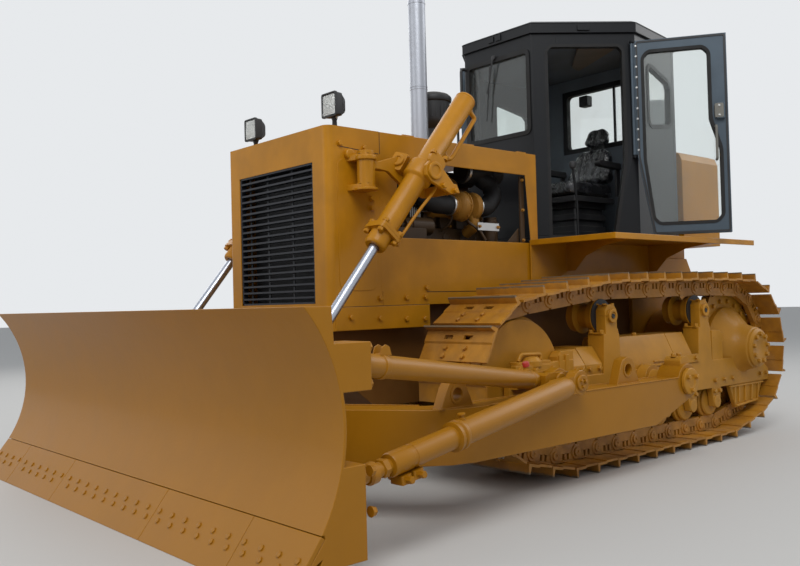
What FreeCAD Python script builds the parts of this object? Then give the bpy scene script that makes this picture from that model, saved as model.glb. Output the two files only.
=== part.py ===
import FreeCAD, Part
import math
import os

# Crawler bulldozer with an angling blade on a C-shaped push frame.
# Millimetres.  +X is forward, +Y is the machine's left, +Z is up.
# Lengths along X are measured from the sprocket axle until the pieces are
# saved, where everything is shifted so that the origin lies under the middle
# of the machine, on the ground.

V = FreeCAD.Vector

# Track
TRACK_GAUGE = 1880.0        # between the centre lines of the two tracks
SHOE_WIDTH = 510.0
SHOE_COUNT = 37
PITCH = 203.2               # pin to pin
PIN_TO_PLATE = 47.0         # pin line to the underside of the shoe
PLATE_T = 13.0              # shoe plate
GROUSER_H = 50.0            # bar above the plate
GROUSER_T = 16.0
GROUSER_AT = 86.0           # bar ahead of the middle of the shoe
SHOE_GAP = 5.0              # between neighbouring plates
RAIL_DEPTH = 55.0           # pin line to the rail that the rollers run on
RAIL_T = 36.0
RAIL_SPREAD = 170.0         # between the middles of the two rails of a chain
ROLL_GAP = 1.0              # a wheel's tread to its rail

# Wheels inside the track
TEETH = 27
SPROCKET_LIFT = 80.0        # how far the chain rises to the sprocket
SPROCKET_T = 64.0
TOOTH_DROP = 14.0           # tooth tip below the pin circle
BUSH_R = 33.0
IDLER_PIN_R = 405.0         # pin line round the idler
IDLER_LIFT = 65.0
IDLER_FLANGE = 22.0
IDLER_AXLE_R = 60.0
TRACK_ROLLERS = 6
ROLLER_R = 104.0
ROLLER_FIRST_X = 410.0
ROLLER_STEP = 324.0
CARRIER_R = 98.0
CARRIER_X = (550.0, 1655.0)
CARRIER_PIN_Z = (1078.0, 1068.0)
CARRIER_SLACK = 4.0         # links sag between the carrier rollers

# Track frame
BEAM_BOTTOM = 368.0
BEAM_TOP = 563.0
BEAM_T = 42.0
BEAM_OUT = 180.0            # track centre to the outer face of the outer beam
BEAM_IN = 175.0             # track centre to the inner face of the inner beam
BEAM_REAR_X = -375.0
DECK_T = 30.0
HANGER_HALF_W = 62.0        # roller hanger under a beam
HANGER_DROP = 34.0          # below the roller's axle
FORK_T = 40.0
PEDESTAL_H = 237.0          # above the beam
BRACKET_W = 120.0
BRACKET_RISE = 71.0         # above the carrier roller's axle
BRACKET_GAP = 7.0           # rail to the bracket of a carrier roller
# Covers on the beams: rear end, front end, top
COVER_SPANS = ((715.0, 936.0, 772.0), (940.0, 1560.0, 772.0), (1750.0, 1915.0, 728.0),
               (1919.0, 2048.0, 722.0))
FRONT_COVER_X = 2180.0      # outer cover beside the idler
DRIVE_CLEARANCE = 6.0       # beam to the final drive housing
DRIVE_INNER_R = 290.0
# Final drive housing, out from the sprocket's face: distance and radius
DRIVE_PROFILE = ((0.0, 300.0), (38.0, 290.0), (138.0, 190.0), (250.0, 142.0), (278.0, 132.0))

# Hull
HULL_HALF_W = 420.0
HULL_BOTTOM = 430.0
HULL_TOP = 1010.0
HULL_FRONT_X = 3300.0
HULL_REAR_X = 410.0
HULL_WALL = 40.0
BAR_X = (2250.0, 2400.0)    # equalizer bar between the track frames
BAR_Z = (565.0, 662.0)
BAR_GAP = 3.0
CASE_HALF_W = 450.0
CASE_REAR_X = -560.0
CASE_TOP = 1330.0
DRAWBAR_REACH = 240.0
DRAWBAR_BORE_R = 26.0
DRAWBAR_Z = (570.0, 690.0)
JAW_Z = (605.0, 655.0)
PULL_BLOCK_REACH = 200.0
PULL_BLOCK_HALF_W = 200.0

# Nose and engine cover
NOSE_FRONT_X = 3350.0
NOSE_REAR_X = 2980.0
NOSE_HALF_W = 520.0
NOSE_BOTTOM = 878.0
NOSE_TOP = 1998.0
NOSE_WALL = 12.0
NOSE_CORNER_R = 45.0
GRILLE_HALF_W = 385.0
GRILLE_Z = (1030.0, 1810.0)
SLATS = 20
SLAT_T = 6.0
SLAT_DEPTH = 12.0
HOOD_REAR_X = 1600.0
SIDE_WALL = 8.0
SEAM = 3.0                  # gap between sheet panels
SIDE_SILL_Z = 1400.0
SIDE_DROP_X = 2618.0        # ahead of this the side reaches down to the nose's bottom
BAY_TOP_Z = 1850.0
BAY_FRONT_X = 2850.0
HEAD_LEFT_Y = 190.0
TURBO_YZ = (330.0, 1640.0)
STACK = (2270.0, 100.0)
STACK_R = 57.0
CLEANER = (2050.0, 0.0)

TANK_X = (-498.0, 55.0)

# Cab
CAB_BASE_Z = 1420.0
CAB_SILL_Z = 1470.0
CAB_EAVE_Z = 2910.0
ROOF_LIP = 16.0             # roof beyond the outside of the walls
ROOF_CHAMFER = 20.0
CAB_TOP_Z = 3005.0
CAB_PLAN = ((1380.0, 328.0), (791.0, 789.0), (130.0, 700.0))
CAB_WALL = 45.0
DOORWAY_SPLIT = 180.0       # front wall to side wall, along the slanted side
WINDSCREEN_HALF_W = 295.0
WINDSCREEN_Z = (2215.0, 2800.0)
REAR_PANE_HALF_W = 310.0
REAR_PANE_Z = (2275.0, 2760.0)
SEAT_Y = 120.0              # middle of the seat
# Quarter window in the side wall behind the door, as (x, z)
QUARTER_PANE = ((215.0, 2350.0), (250.0, 2315.0), (560.0, 2270.0), (600.0, 2305.0),
                (600.0, 2690.0), (560.0, 2725.0), (255.0, 2655.0), (215.0, 2610.0))
GLASS_T = 6.0
GLASS_IN = 14.0
DOOR_T = 40.0
DOOR_GAP = 8.0
# Doorway, door and its window: (distance from the front corner, height)
DOORWAY = ((104.0, 1460.0), (578.0, 1460.0), (583.0, 1510.0), (664.0, 2000.0),
           (664.0, 2790.0), (630.0, 2826.0), (140.0, 2826.0), (104.0, 2790.0))
DOOR = ((86.0, 1454.0), (601.0, 1454.0), (696.0, 2010.0), (696.0, 2838.0), (86.0, 2838.0))
DOOR_PANE = ((136.0, 1575.0), (180.0, 1530.0), (560.0, 1530.0), (600.0, 1570.0), (650.0, 1990.0),
             (650.0, 2715.0), (610.0, 2757.0), (240.0, 2757.0), (200.0, 2715.0), (200.0, 2250.0),
             (136.0, 2040.0))
DOOR_OPEN_DEG = 162.8
HINGE_R = 11.0
HINGE_FROM_DOOR = 20.0      # hinge line behind the door's rear edge
HINGE_Z = (2030.0, 2825.0)

# Blade and push frame
TRUNNION_X = 1320.0
TRUNNION_Z = 500.0
TRUNNION_R = 62.0
TRACK_TO_ARM = 80.0
ARM_W = 155.0
ARM_H = 258.0
ARM_BOTTOM = 270.0
BEND_AHEAD = 315.0          # straight arm beyond the front of the track
BALL_AHEAD = 745.0          # from the bend to the front of the push frame
BALL_R = 70.0
LUG_BORE_R = 32.0
LUG_T = 60.0
LUG_R = 72.0
LUG_X = (1884.0, 2508.0, 3269.0)
LUG_Z = (610.0, 590.0, 590.0)
BLADE_HALF_W = 1735.0
BLADE_T = 14.0
# Blade profile: how far ahead of the push frame, and height
BLADE_TIP = (481.0, 0.0)
BLADE_EDGE = (324.0, 203.0)
BLADE_DEEP = (215.0, 509.0)
BLADE_TOP = (379.0, 1018.0)
EDGE_T = 22.0
EDGE_SEAMS = (-1290.0, -560.0, 560.0, 1290.0)
BOX_UPPER_Z = (700.0, 882.0)
BOX_LOWER_Z = (205.0, 430.0)
BOX_BACK = 150.0            # blade boxes' rear wall ahead of the push frame
RIB_Y = (210.0, 900.0)
RIB_T = 20.0
END_PLATE_T = 25.0
PAD_AHEAD = 75.0            # brace brackets' rear face ahead of the push frame
PAD_W = 170.0
BRACE_EYE_W = 60.0
EYE_GAP = 4.0               # between a lug and the eye beside it
EYE_CLEAR = 32.0            # lower brace's eye beyond the side of the arm
FORK_PLATE_T = 48.0
RETAINER_R = 42.0
UPPER_BRACE_R = 47.0
LOWER_BRACE_R = 57.0
FIT = 0.05                  # radial play of a pin in its bore
PIN_SIDES = 12              # of the pins that do not turn

# Lift cylinders
YOKE_BACK = 480.0           # yoke pin behind the nose
YOKE_DROP = 258.0           # yoke pin below the top of the nose
LIFT_Y = 735.0
BARREL_R = 62.0
BARREL_BACK = 616.0
BARREL_FRONT = 540.0
BARREL_FLOOR = 40.0         # closed end
COLLAR_R = 84.0
CHEEK_FROM_MID = 94.0       # cylinder's middle to the yoke's cheeks
YOKE_PIN_R = 30.0
YOKE_PIN_SIDES = 16
ROD_R = 27.0
ROD_LENGTH = 1200.0
EYE_BEHIND = 241.0          # rod eye behind the front of the push frame
EYE_RISE = 137.0            # rod eye above the arms
EYE_R = 52.0
EYE_W = 70.0
CHEEK_T = 26.0
CHEEK_GAP = 8.0


def box(x0, x1, y0, y1, z0, z1):
    return Part.makeBox(x1 - x0, y1 - y0, z1 - z0, V(x0, y0, z0))


def prism_y(outline, y0, y1):
    """An outline of (x, z) points pushed from y0 to y1."""
    corners = [V(x, y0, z) for x, z in outline]
    return Part.Face(Part.makePolygon(corners + corners[:1])).extrude(V(0, y1 - y0, 0))


def prism_z(outline, z0, z1):
    """An outline of (x, y) points pushed from z0 to z1."""
    corners = [V(x, y, z0) for x, y in outline]
    return Part.Face(Part.makePolygon(corners + corners[:1])).extrude(V(0, 0, z1 - z0))


def prism_x(outline, x0, x1):
    """An outline of (y, z) points pushed from x0 to x1."""
    corners = [V(x0, y, z) for y, z in outline]
    return Part.Face(Part.makePolygon(corners + corners[:1])).extrude(V(x1 - x0, 0, 0))


def rod(start, end, radius):
    start, end = V(*start), V(*end)
    return Part.makeCylinder(radius, (end - start).Length, start, end - start)


def rod_y(x, z, y0, y1, radius):
    return Part.makeCylinder(radius, y1 - y0, V(x, y0, z), V(0, 1, 0))


def flat_bore(x, z, y0, y1, radius, sides):
    """Flat-sided pin hole along Y whose flats clear a pin of the same number of sides."""
    return faceted((x, y0, z), (0, 1, 0), ((0, radius), (y1 - y0, radius)), sides)


def polyhedron(rings):
    """A closed solid through rings of points, all of one length, with flat sides."""
    faces = [Part.Face(Part.makePolygon(ring + ring[:1])) for ring in (rings[0], rings[-1])]
    count = len(rings[0])
    for a, b in zip(rings, rings[1:]):
        for i in range(count):
            j = (i + 1) % count
            faces.append(Part.Face(Part.makePolygon([a[i], a[j], b[j], b[i], a[i]])))
    shell = Part.makeShell(faces)
    shell.sewShape()
    solid = Part.makeSolid(shell)
    return solid if solid.Volume > 0 else solid.reversed()


def ring_about(centre, direction, radius, sides):
    """Corners of a flat-sided circle round the line through centre."""
    along = V(direction).normalize()
    across = V(0, 0, 1).cross(along) if abs(along.z) < 0.9 else V(0, 1, 0).cross(along)
    across.normalize()
    up = along.cross(across)
    turns = [2 * math.pi * (i + 0.5) / sides for i in range(sides)]
    return [centre + across * (radius * math.cos(a)) + up * (radius * math.sin(a)) for a in turns]


def faceted(start, direction, profile, sides):
    """Flat-sided turned piece; the profile holds (distance, radius) along a direction."""
    start, along = V(*start), V(*direction).normalize()
    parts = []
    for (d0, r0), (d1, r1) in zip(profile, profile[1:]):
        if d1 > d0:
            parts.append(polyhedron([ring_about(start + along * d, along, r, sides)
                                     for d, r in ((d0, r0), (d1, r1))]))
    return fuse(parts)


def bent_tube(path, radius, sides):
    """Flat-sided tube along a path of points, mitred at its bends."""
    path = [V(*p) for p in path]
    ring = ring_about(path[0], path[1] - path[0], radius, sides)
    rings = [ring]
    for i in range(1, len(path)):
        along = (path[i] - path[i - 1]).normalize()
        after = (path[i + 1] - path[i]).normalize() if i + 1 < len(path) else along
        normal = along + after
        ring = [p + along * ((path[i] - p).dot(normal) / along.dot(normal)) for p in ring]
        rings.append(ring)
    return polyhedron(rings)


def fuse(shapes):
    shapes = list(shapes)
    return shapes[0].multiFuse(shapes[1:]).removeSplitter() if len(shapes) > 1 else shapes[0]


def group(shapes):
    """Pieces of one body that only touch, kept as separate solids."""
    return Part.makeCompound([solid for shape in shapes for solid in shape.Solids])


def mirrored(shape):
    return shape.mirror(V(0, 0, 0), V(0, 1, 0))


def both_sides(shape):
    return group([shape, mirrored(shape)])


def inset(outline, distance):
    """A convex (x, y) outline, run anticlockwise, moved inwards."""
    count = len(outline)
    lines = []
    for i in range(count):
        (x0, y0), (x1, y1) = outline[i], outline[(i + 1) % count]
        length = math.hypot(x1 - x0, y1 - y0)
        nx, ny = -(y1 - y0) / length, (x1 - x0) / length
        lines.append((nx, ny, nx * x0 + ny * y0 + distance))
    corners = []
    for i in range(count):
        a, b = lines[i - 1], lines[i]
        det = a[0] * b[1] - a[1] * b[0]
        corners.append(((a[2] * b[1] - b[2] * a[1]) / det, (a[0] * b[2] - b[0] * a[2]) / det))
    return corners


# The path of the track pins
PLATE_OUT = PIN_TO_PLATE + PLATE_T
PIN_Z = PLATE_OUT + GROUSER_H
SPROCKET_PIN_R = PITCH / 2 / math.sin(math.pi / (TEETH / 2))
SPROCKET_Z = PIN_Z + SPROCKET_LIFT + SPROCKET_PIN_R
IDLER_Z = PIN_Z + IDLER_LIFT + IDLER_PIN_R
ROLLER_Z = PIN_Z + RAIL_DEPTH + ROLL_GAP + ROLLER_R
ROLLER_XS = [ROLLER_FIRST_X + ROLLER_STEP * i for i in range(TRACK_ROLLERS)]
CARRIER_PATH_R = CARRIER_R + ROLL_GAP + RAIL_DEPTH
TRACK_Y = TRACK_GAUGE / 2


def cross(a, b, c):
    return (b[0] - a[0]) * (c[1] - a[1]) - (b[1] - a[1]) * (c[0] - a[0])


def pin_path(idler_x):
    """Taut loop round the wheels, as the outline of all their pin circles."""
    circles = [(0.0, SPROCKET_Z, SPROCKET_PIN_R), (idler_x, IDLER_Z, IDLER_PIN_R)]
    for x in (ROLLER_XS[0] - PITCH / 2, ROLLER_XS[-1] + PITCH / 2):
        circles.append((x, PIN_Z + CARRIER_PATH_R, CARRIER_PATH_R))
    for x, z in zip(CARRIER_X, CARRIER_PIN_Z):
        circles.append((x, z - CARRIER_PATH_R, CARRIER_PATH_R))
    points = []
    for x, z, r in circles:
        for i in range(120):
            angle = 2 * math.pi * i / 120
            points.append((x + r * math.cos(angle), z + r * math.sin(angle)))
    points.sort()
    halves = []
    for run in (points, points[::-1]):
        edge = []
        for p in run:
            while len(edge) > 1 and cross(edge[-2], edge[-1], p) <= 0:
                edge.pop()
            edge.append(p)
        halves.append(edge[:-1])
    return halves[0] + halves[1]


def path_length(path):
    return sum(math.dist(path[i - 1], path[i]) for i in range(len(path)))


def idler_place():
    """The idler sits where the chain of SHOE_COUNT links is just taut."""
    low, high = ROLLER_XS[-1], ROLLER_XS[-1] + 4 * PITCH
    for _ in range(40):
        middle = (low + high) / 2
        if path_length(pin_path(middle)) < SHOE_COUNT * PITCH:
            low = middle
        else:
            high = middle
    return low


def pins_on(path, count):
    step = path_length(path) / count
    pins, travelled, target = [], 0.0, 0.0
    for i in range(len(path)):
        a, b = path[i], path[(i + 1) % len(path)]
        span = math.dist(a, b)
        while target < travelled + span - 1e-9 and len(pins) < count:
            t = (target - travelled) / span
            pins.append((a[0] + (b[0] - a[0]) * t, a[1] + (b[1] - a[1]) * t))
            target += step
        travelled += span
    return pins


def offset_loop(pins, distance):
    """The closed chain of pins moved outwards, each side keeping its direction."""
    moved = []
    for i, (x, z) in enumerate(pins):
        (xa, za), (xb, zb) = pins[i - 1], pins[(i + 1) % len(pins)]
        la, lb = math.dist((xa, za), (x, z)), math.dist((x, z), (xb, zb))
        ax, az = (z - za) / la, -(x - xa) / la
        bx, bz = (zb - z) / lb, -(xb - x) / lb
        reach = distance / (1 + ax * bx + az * bz)
        moved.append((x + (ax + bx) * reach, z + (az + bz) * reach))
    return moved


# Places that follow from the sizes above
IDLER_X = idler_place()
IDLER_TREAD = math.sqrt(IDLER_PIN_R ** 2 - (PITCH / 2) ** 2) - RAIL_DEPTH - ROLL_GAP
RAIL_IN_HALF = RAIL_SPREAD / 2 - RAIL_T / 2
RAIL_OUT_HALF = RAIL_SPREAD / 2 + RAIL_T / 2
TRACK_OUT_Y = TRACK_Y + SHOE_WIDTH / 2
BEAM_OUT_Y = TRACK_Y + BEAM_OUT
BEAM_IN_Y = TRACK_Y - BEAM_IN
BEAM_FRONT_X = ROLLER_XS[-1] + 70
WHEEL_ROOM_X = IDLER_X - IDLER_TREAD - IDLER_FLANGE - 12
BRACKET_IN_Y = TRACK_Y + RAIL_OUT_HALF + BRACKET_GAP
ARM_IN_Y = TRACK_OUT_Y + TRACK_TO_ARM
ARM_OUT_Y = ARM_IN_Y + ARM_W
ARM_MID_Y = ARM_IN_Y + ARM_W / 2
ARM_TOP = ARM_BOTTOM + ARM_H
BEND_X = IDLER_X + IDLER_PIN_R + PLATE_OUT + GROUSER_H + BEND_AHEAD
BALL_X = BEND_X + BALL_AHEAD
FRONT_X = BALL_X + BLADE_TIP[0]
REAR_X = CASE_REAR_X - DRAWBAR_REACH
X_MID = (FRONT_X + REAR_X) / 2
YOKE_X = NOSE_FRONT_X - YOKE_BACK
YOKE_Z = NOSE_TOP - YOKE_DROP
EYE_X = BALL_X - EYE_BEHIND
EYE_Z = ARM_TOP + EYE_RISE
LIFT_LEN = math.hypot(EYE_X - YOKE_X, EYE_Z - YOKE_Z)
LIFT_DIR = ((EYE_X - YOKE_X) / LIFT_LEN, (EYE_Z - YOKE_Z) / LIFT_LEN)
UPPER_EYE_Y = ARM_MID_Y - LUG_T / 2 - EYE_GAP - BRACE_EYE_W / 2
FORK_OUT_Y = ARM_MID_Y + LUG_T / 2 + EYE_GAP
LOWER_EYE_Y = ARM_OUT_Y + EYE_CLEAR + BRACE_EYE_W / 2


def save(name, shape):
    placed = shape.copy()
    placed.translate(V(-X_MID, 0, 0))
    placed.exportStep(os.path.join("parts", name + ".step"))


def save_pair(name, shape):
    save(name + "_left", shape)
    save(name + "_right", mirrored(shape))


def track():
    """One loop of rails and shoes, computed from the path of its pins."""
    pins = pins_on(pin_path(IDLER_X), SHOE_COUNT)
    pieces = []
    for side in (-1, 1):
        y0 = TRACK_Y + side * RAIL_SPREAD / 2 - RAIL_T / 2
        outer = prism_y(offset_loop(pins, PIN_TO_PLATE), y0, y0 + RAIL_T)
        inner = prism_y(offset_loop(pins, -RAIL_DEPTH), y0 - 1, y0 + RAIL_T + 1)
        pieces.append(outer.cut(inner))
    half = (PITCH - SHOE_GAP) / 2
    section = [(-half, PIN_TO_PLATE), (half, PIN_TO_PLATE), (half, PLATE_OUT),
               (GROUSER_AT + GROUSER_T / 2, PLATE_OUT), (GROUSER_AT + GROUSER_T / 2, PIN_Z),
               (GROUSER_AT - GROUSER_T / 2, PIN_Z), (GROUSER_AT - GROUSER_T / 2, PLATE_OUT),
               (-half, PLATE_OUT)]
    for i in range(SHOE_COUNT):
        (x0, z0), (x1, z1) = pins[i], pins[(i + 1) % SHOE_COUNT]
        length = math.hypot(x1 - x0, z1 - z0)
        tx, tz = (x1 - x0) / length, (z1 - z0) / length
        mx, mz = (x0 + x1) / 2, (z0 + z1) / 2
        outline = [(mx + tx * s + tz * n, mz + tz * s - tx * n) for s, n in section]
        pieces.append(prism_y(outline, TRACK_Y - SHOE_WIDTH / 2, TRACK_Y + SHOE_WIDTH / 2))
    return fuse(pieces)


def track_rollers():
    """Track rollers between their hangers, and carrier rollers against their brackets."""
    wheels = []
    inside, outside = BEAM_IN_Y + BEAM_T, BEAM_OUT_Y - BEAM_T
    for x in ROLLER_XS:
        wheels.append(faceted((x, inside, ROLLER_Z), (0, 1, 0),
                              ((0, ROLLER_R), (outside - inside, ROLLER_R)), 12))
    drum_in = TRACK_Y - RAIL_OUT_HALF
    for x, z in zip(CARRIER_X, CARRIER_PIN_Z):
        wheels.append(faceted((x, drum_in, z - CARRIER_PATH_R - CARRIER_SLACK), (0, 1, 0),
                              ((0, CARRIER_R), (BRACKET_IN_Y - drum_in, CARRIER_R)), 14))
    return both_sides(group(wheels))


def idlers():
    """Front wheels with a flange between the rails, on axles held by the forks."""
    start = TRACK_Y - BEAM_IN + FORK_T
    flange = RAIL_IN_HALF - 8
    stations = [y - start for y in (start, TRACK_Y - RAIL_OUT_HALF, TRACK_Y - flange, TRACK_Y + flange,
                                    TRACK_Y + RAIL_OUT_HALF, BEAM_OUT_Y - FORK_T)]
    radii = (IDLER_AXLE_R, IDLER_TREAD, IDLER_TREAD + IDLER_FLANGE, IDLER_TREAD, IDLER_AXLE_R)
    profile = []
    for i, radius in enumerate(radii):
        profile += [(stations[i], radius), (stations[i + 1], radius)]
    return both_sides(faceted((IDLER_X, start, IDLER_Z), (0, 1, 0), profile, 20))


def sprockets():
    """Toothed wheels with the final drive housings; the outer one is slotted over the beam."""
    root = SPROCKET_PIN_R - BUSH_R
    tip = SPROCKET_PIN_R - TOOTH_DROP
    outline = []
    for i in range(TEETH):
        for part, r in ((-0.5, root), (-0.14, tip), (0.14, tip)):
            angle = 2 * math.pi * (i + part) / TEETH
            outline.append((r * math.sin(angle), SPROCKET_Z + r * math.cos(angle)))
    face = TRACK_Y + SPROCKET_T / 2
    wheel = prism_y(outline, face - SPROCKET_T, face)
    inner = faceted((0, CASE_HALF_W, SPROCKET_Z), (0, 1, 0),
                    ((0, DRIVE_INNER_R), (face - SPROCKET_T - CASE_HALF_W, DRIVE_INNER_R)), 12)
    outer = faceted((0, face, SPROCKET_Z), (0, 1, 0), DRIVE_PROFILE, 18)
    slot = box(BEAM_REAR_X, -BEAM_REAR_X, BEAM_OUT_Y - BEAM_T - DRIVE_CLEARANCE,
               BEAM_OUT_Y + DRIVE_CLEARANCE, BEAM_BOTTOM, BEAM_TOP + DRIVE_CLEARANCE)
    return both_sides(fuse([wheel, inner, outer.cut(slot)]))


def beam_outline(rear):
    """Side of a beam with a hanger under it at each roller; rear holds its rear corners."""
    bottom = []
    for x in ROLLER_XS:
        for dx, z in ((-HANGER_HALF_W, BEAM_BOTTOM), (20 - HANGER_HALF_W, ROLLER_Z - HANGER_DROP),
                      (HANGER_HALF_W - 20, ROLLER_Z - HANGER_DROP), (HANGER_HALF_W, BEAM_BOTTOM)):
            bottom.append((x + dx, z))
    return rear + bottom + [(BEAM_FRONT_X, BEAM_BOTTOM), (BEAM_FRONT_X, BEAM_TOP)]


def beam_cover(x0, x1, top):
    shoulder = BEAM_TOP + 62
    return prism_x([(BEAM_IN_Y + 10, BEAM_TOP), (BEAM_OUT_Y - 8, BEAM_TOP), (BEAM_OUT_Y - 8, shoulder),
                    (BEAM_OUT_Y - 78, top), (BEAM_IN_Y + 75, top), (BEAM_IN_Y + 10, shoulder)], x0, x1)


def roller_post(x, axle_z):
    """Pedestal on the beam with the bracket that holds a carrier roller's axle."""
    top = BEAM_TOP + PEDESTAL_H
    half = BRACKET_W / 2
    pedestal = prism_y([(x - half - 32, BEAM_TOP), (x + half + 32, BEAM_TOP), (x + half + 20, top),
                        (x - half - 20, top)], BEAM_OUT_Y - BRACKET_W, BEAM_OUT_Y)
    crown = axle_z + BRACKET_RISE
    bracket = prism_y([(x - half, top), (x + half, top), (x + half, crown - 35), (x + half - 30, crown),
                       (x - half + 30, crown), (x - half, crown - 35)], BRACKET_IN_Y, BEAM_OUT_Y)
    boss = faceted((x, BEAM_OUT_Y, axle_z), (0, 1, 0), ((0, 40), (14, 40)), 10)
    return [pedestal, bracket, boss]


def track_frame():
    """Roller frame of the left track: beams, covers, roller posts, idler fork and trunnion."""
    rear_end = [(-210, BEAM_TOP), (BEAM_REAR_X, BEAM_BOTTOM + 85), (BEAM_REAR_X, BEAM_BOTTOM)]
    outer = prism_y(beam_outline(rear_end), BEAM_OUT_Y - BEAM_T, BEAM_OUT_Y)
    rear_in = DRIVE_INNER_R + 20
    inner = prism_y(beam_outline([(rear_in, BEAM_TOP), (rear_in, BEAM_BOTTOM)]),
                    BEAM_IN_Y, BEAM_IN_Y + BEAM_T)
    deck = box(SPROCKET_PIN_R + 20, WHEEL_ROOM_X, BEAM_IN_Y, BEAM_OUT_Y, BEAM_TOP - DECK_T, BEAM_TOP)
    rear_cover = prism_y([(60, BEAM_TOP), (115, 645), (328, 772), (440, 772), (440, BEAM_TOP)],
                         BRACKET_IN_Y, BEAM_OUT_Y - 8)
    chain_guard = prism_y([(219, BEAM_BOTTOM), (-283, BEAM_BOTTOM), (-193, 220), (136, 200)],
                          BEAM_OUT_Y - 35, BEAM_OUT_Y - 5)
    front_cover = prism_y([(WHEEL_ROOM_X - 20, BEAM_TOP), (FRONT_COVER_X, BEAM_TOP),
                           (FRONT_COVER_X, 690), (FRONT_COVER_X - 32, 722), (WHEEL_ROOM_X - 20, 722)],
                          BRACKET_IN_Y, BEAM_OUT_Y - 8)
    pieces = [inner, deck, rear_cover, front_cover]
    pieces += [beam_cover(*span) for span in COVER_SPANS]
    for x, z in zip(CARRIER_X, CARRIER_PIN_Z):
        pieces += roller_post(x, z - CARRIER_PATH_R - CARRIER_SLACK)
    for y0 in (BEAM_IN_Y, BEAM_OUT_Y - FORK_T):
        pieces.append(prism_y([(BEAM_FRONT_X - 60, 470), (IDLER_X + 190, 500), (IDLER_X + 190, 640),
                               (IDLER_X - 150, 667), (BEAM_FRONT_X - 60, 667)], y0, y0 + FORK_T))
    pieces.append(box(IDLER_X - 165, IDLER_X + 175, BEAM_OUT_Y, BEAM_OUT_Y + 38, 537, 667))
    reach = DRIVE_PROFILE[1][1] + DRIVE_CLEARANCE
    room = faceted((0, BRACKET_IN_Y - 50, SPROCKET_Z), (0, 1, 0), ((0, reach), (200, reach)), 18)
    frame = fuse([fuse(pieces).cut(room), outer, chain_guard])
    base = faceted((TRUNNION_X, BEAM_OUT_Y, TRUNNION_Z), (0, 1, 0), ((0, 95), (70, 95)), 12)
    pin = rod_y(TRUNNION_X, TRUNNION_Z, BEAM_OUT_Y + 60, ARM_OUT_Y + 2, TRUNNION_R)
    cap = faceted((TRUNNION_X, ARM_OUT_Y + 2, TRUNNION_Z), (0, 1, 0), ((0, 84), (18, 84)), 12)
    return group([frame, fuse([base, pin, cap])])


def hull_outline():
    return [(HULL_REAR_X, HULL_BOTTOM), (HULL_FRONT_X - 330, HULL_BOTTOM), (HULL_FRONT_X, HULL_TOP - 330),
            (HULL_FRONT_X, HULL_TOP), (HULL_REAR_X, HULL_TOP)]


def main_frame():
    """Tub between the tracks, open at the top, with the pull block on its front."""
    hull = prism_y(hull_outline(), -HULL_HALF_W, HULL_HALF_W)
    wall = HULL_WALL
    room = prism_y([(HULL_REAR_X - 1, HULL_BOTTOM + wall), (HULL_FRONT_X - 345, HULL_BOTTOM + wall),
                    (HULL_FRONT_X - wall, HULL_TOP - 313), (HULL_FRONT_X - wall, HULL_TOP + 1),
                    (HULL_REAR_X - 1, HULL_TOP + 1)], -HULL_HALF_W + wall, HULL_HALF_W - wall)
    gap = box(BAR_X[0] - BAR_GAP, BAR_X[1] + BAR_GAP, -HULL_HALF_W - 1, HULL_HALF_W + 1,
              BAR_Z[0] - BAR_GAP, BAR_Z[1] + BAR_GAP)
    front = HULL_FRONT_X + PULL_BLOCK_REACH
    block = prism_y([(HULL_FRONT_X - 10, HULL_TOP - 370), (front, HULL_TOP - 244), (front, HULL_TOP - 202),
                     (HULL_FRONT_X, NOSE_BOTTOM - 8), (HULL_FRONT_X - 10, NOSE_BOTTOM - 8)],
                    -PULL_BLOCK_HALF_W, PULL_BLOCK_HALF_W)
    return fuse([hull.cut(room).cut(gap), block])


def equalizer_bar():
    return box(BAR_X[0], BAR_X[1], -BEAM_IN_Y, BEAM_IN_Y, BAR_Z[0], BAR_Z[1])


def rear_case():
    """Housing of the transmission and the steering clutches, between the tracks."""
    return prism_y([(HULL_REAR_X, HULL_BOTTOM + 20), (HULL_REAR_X, CASE_TOP), (CASE_REAR_X + 160, CASE_TOP),
                    (CASE_REAR_X, CASE_TOP - 260), (CASE_REAR_X, HULL_BOTTOM + 120),
                    (CASE_REAR_X + 120, HULL_BOTTOM + 20)], -CASE_HALF_W, CASE_HALF_W)


def drawbar():
    """Jaw at the rear with a bore for a pin."""
    bar = box(REAR_X, CASE_REAR_X, -75, 75, *DRAWBAR_Z)
    jaw = box(REAR_X - 1, CASE_REAR_X - 60, -76, 76, *JAW_Z)
    pin = Part.makeCylinder(DRAWBAR_BORE_R, 140, V(REAR_X + 60, 0, DRAWBAR_Z[0] - 10))
    flare = box(CASE_REAR_X - 25, CASE_REAR_X, -170, 170, DRAWBAR_Z[0] - 20, DRAWBAR_Z[1] + 20)
    return fuse([bar.cut(jaw).cut(pin), flare])


def engine():
    """Engine with its gearbox as one heavy block on its feet, the intake pipe along its top."""
    block = box(1720, 2860, -230, 230, 860, 1500)
    head = box(1780, 2800, -160, HEAD_LEFT_Y, 1500, 1700)
    rocker = box(1790, 2790, -110, 90, 1700, 1800)
    pan = box(1800, 2780, -170, 170, BAR_Z[1] + 20, 860)
    gearbox = box(HULL_REAR_X + 40, 1720, -210, 210, 520, 1150)
    reach = HULL_HALF_W - HULL_WALL
    feet = [box(x, x + 110, -reach, reach, 900, 940) for x in (1800, 2640)]
    intake = faceted((1760, -10, 1850), (1, 0, 0), ((0, 62), (1040, 62)), 12)
    return fuse([block, head, rocker, pan, gearbox, intake] + feet)


def radiator():
    return box(3110, 3230, -GRILLE_HALF_W - 15, GRILLE_HALF_W + 15, HULL_TOP, NOSE_TOP - 60)


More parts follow.
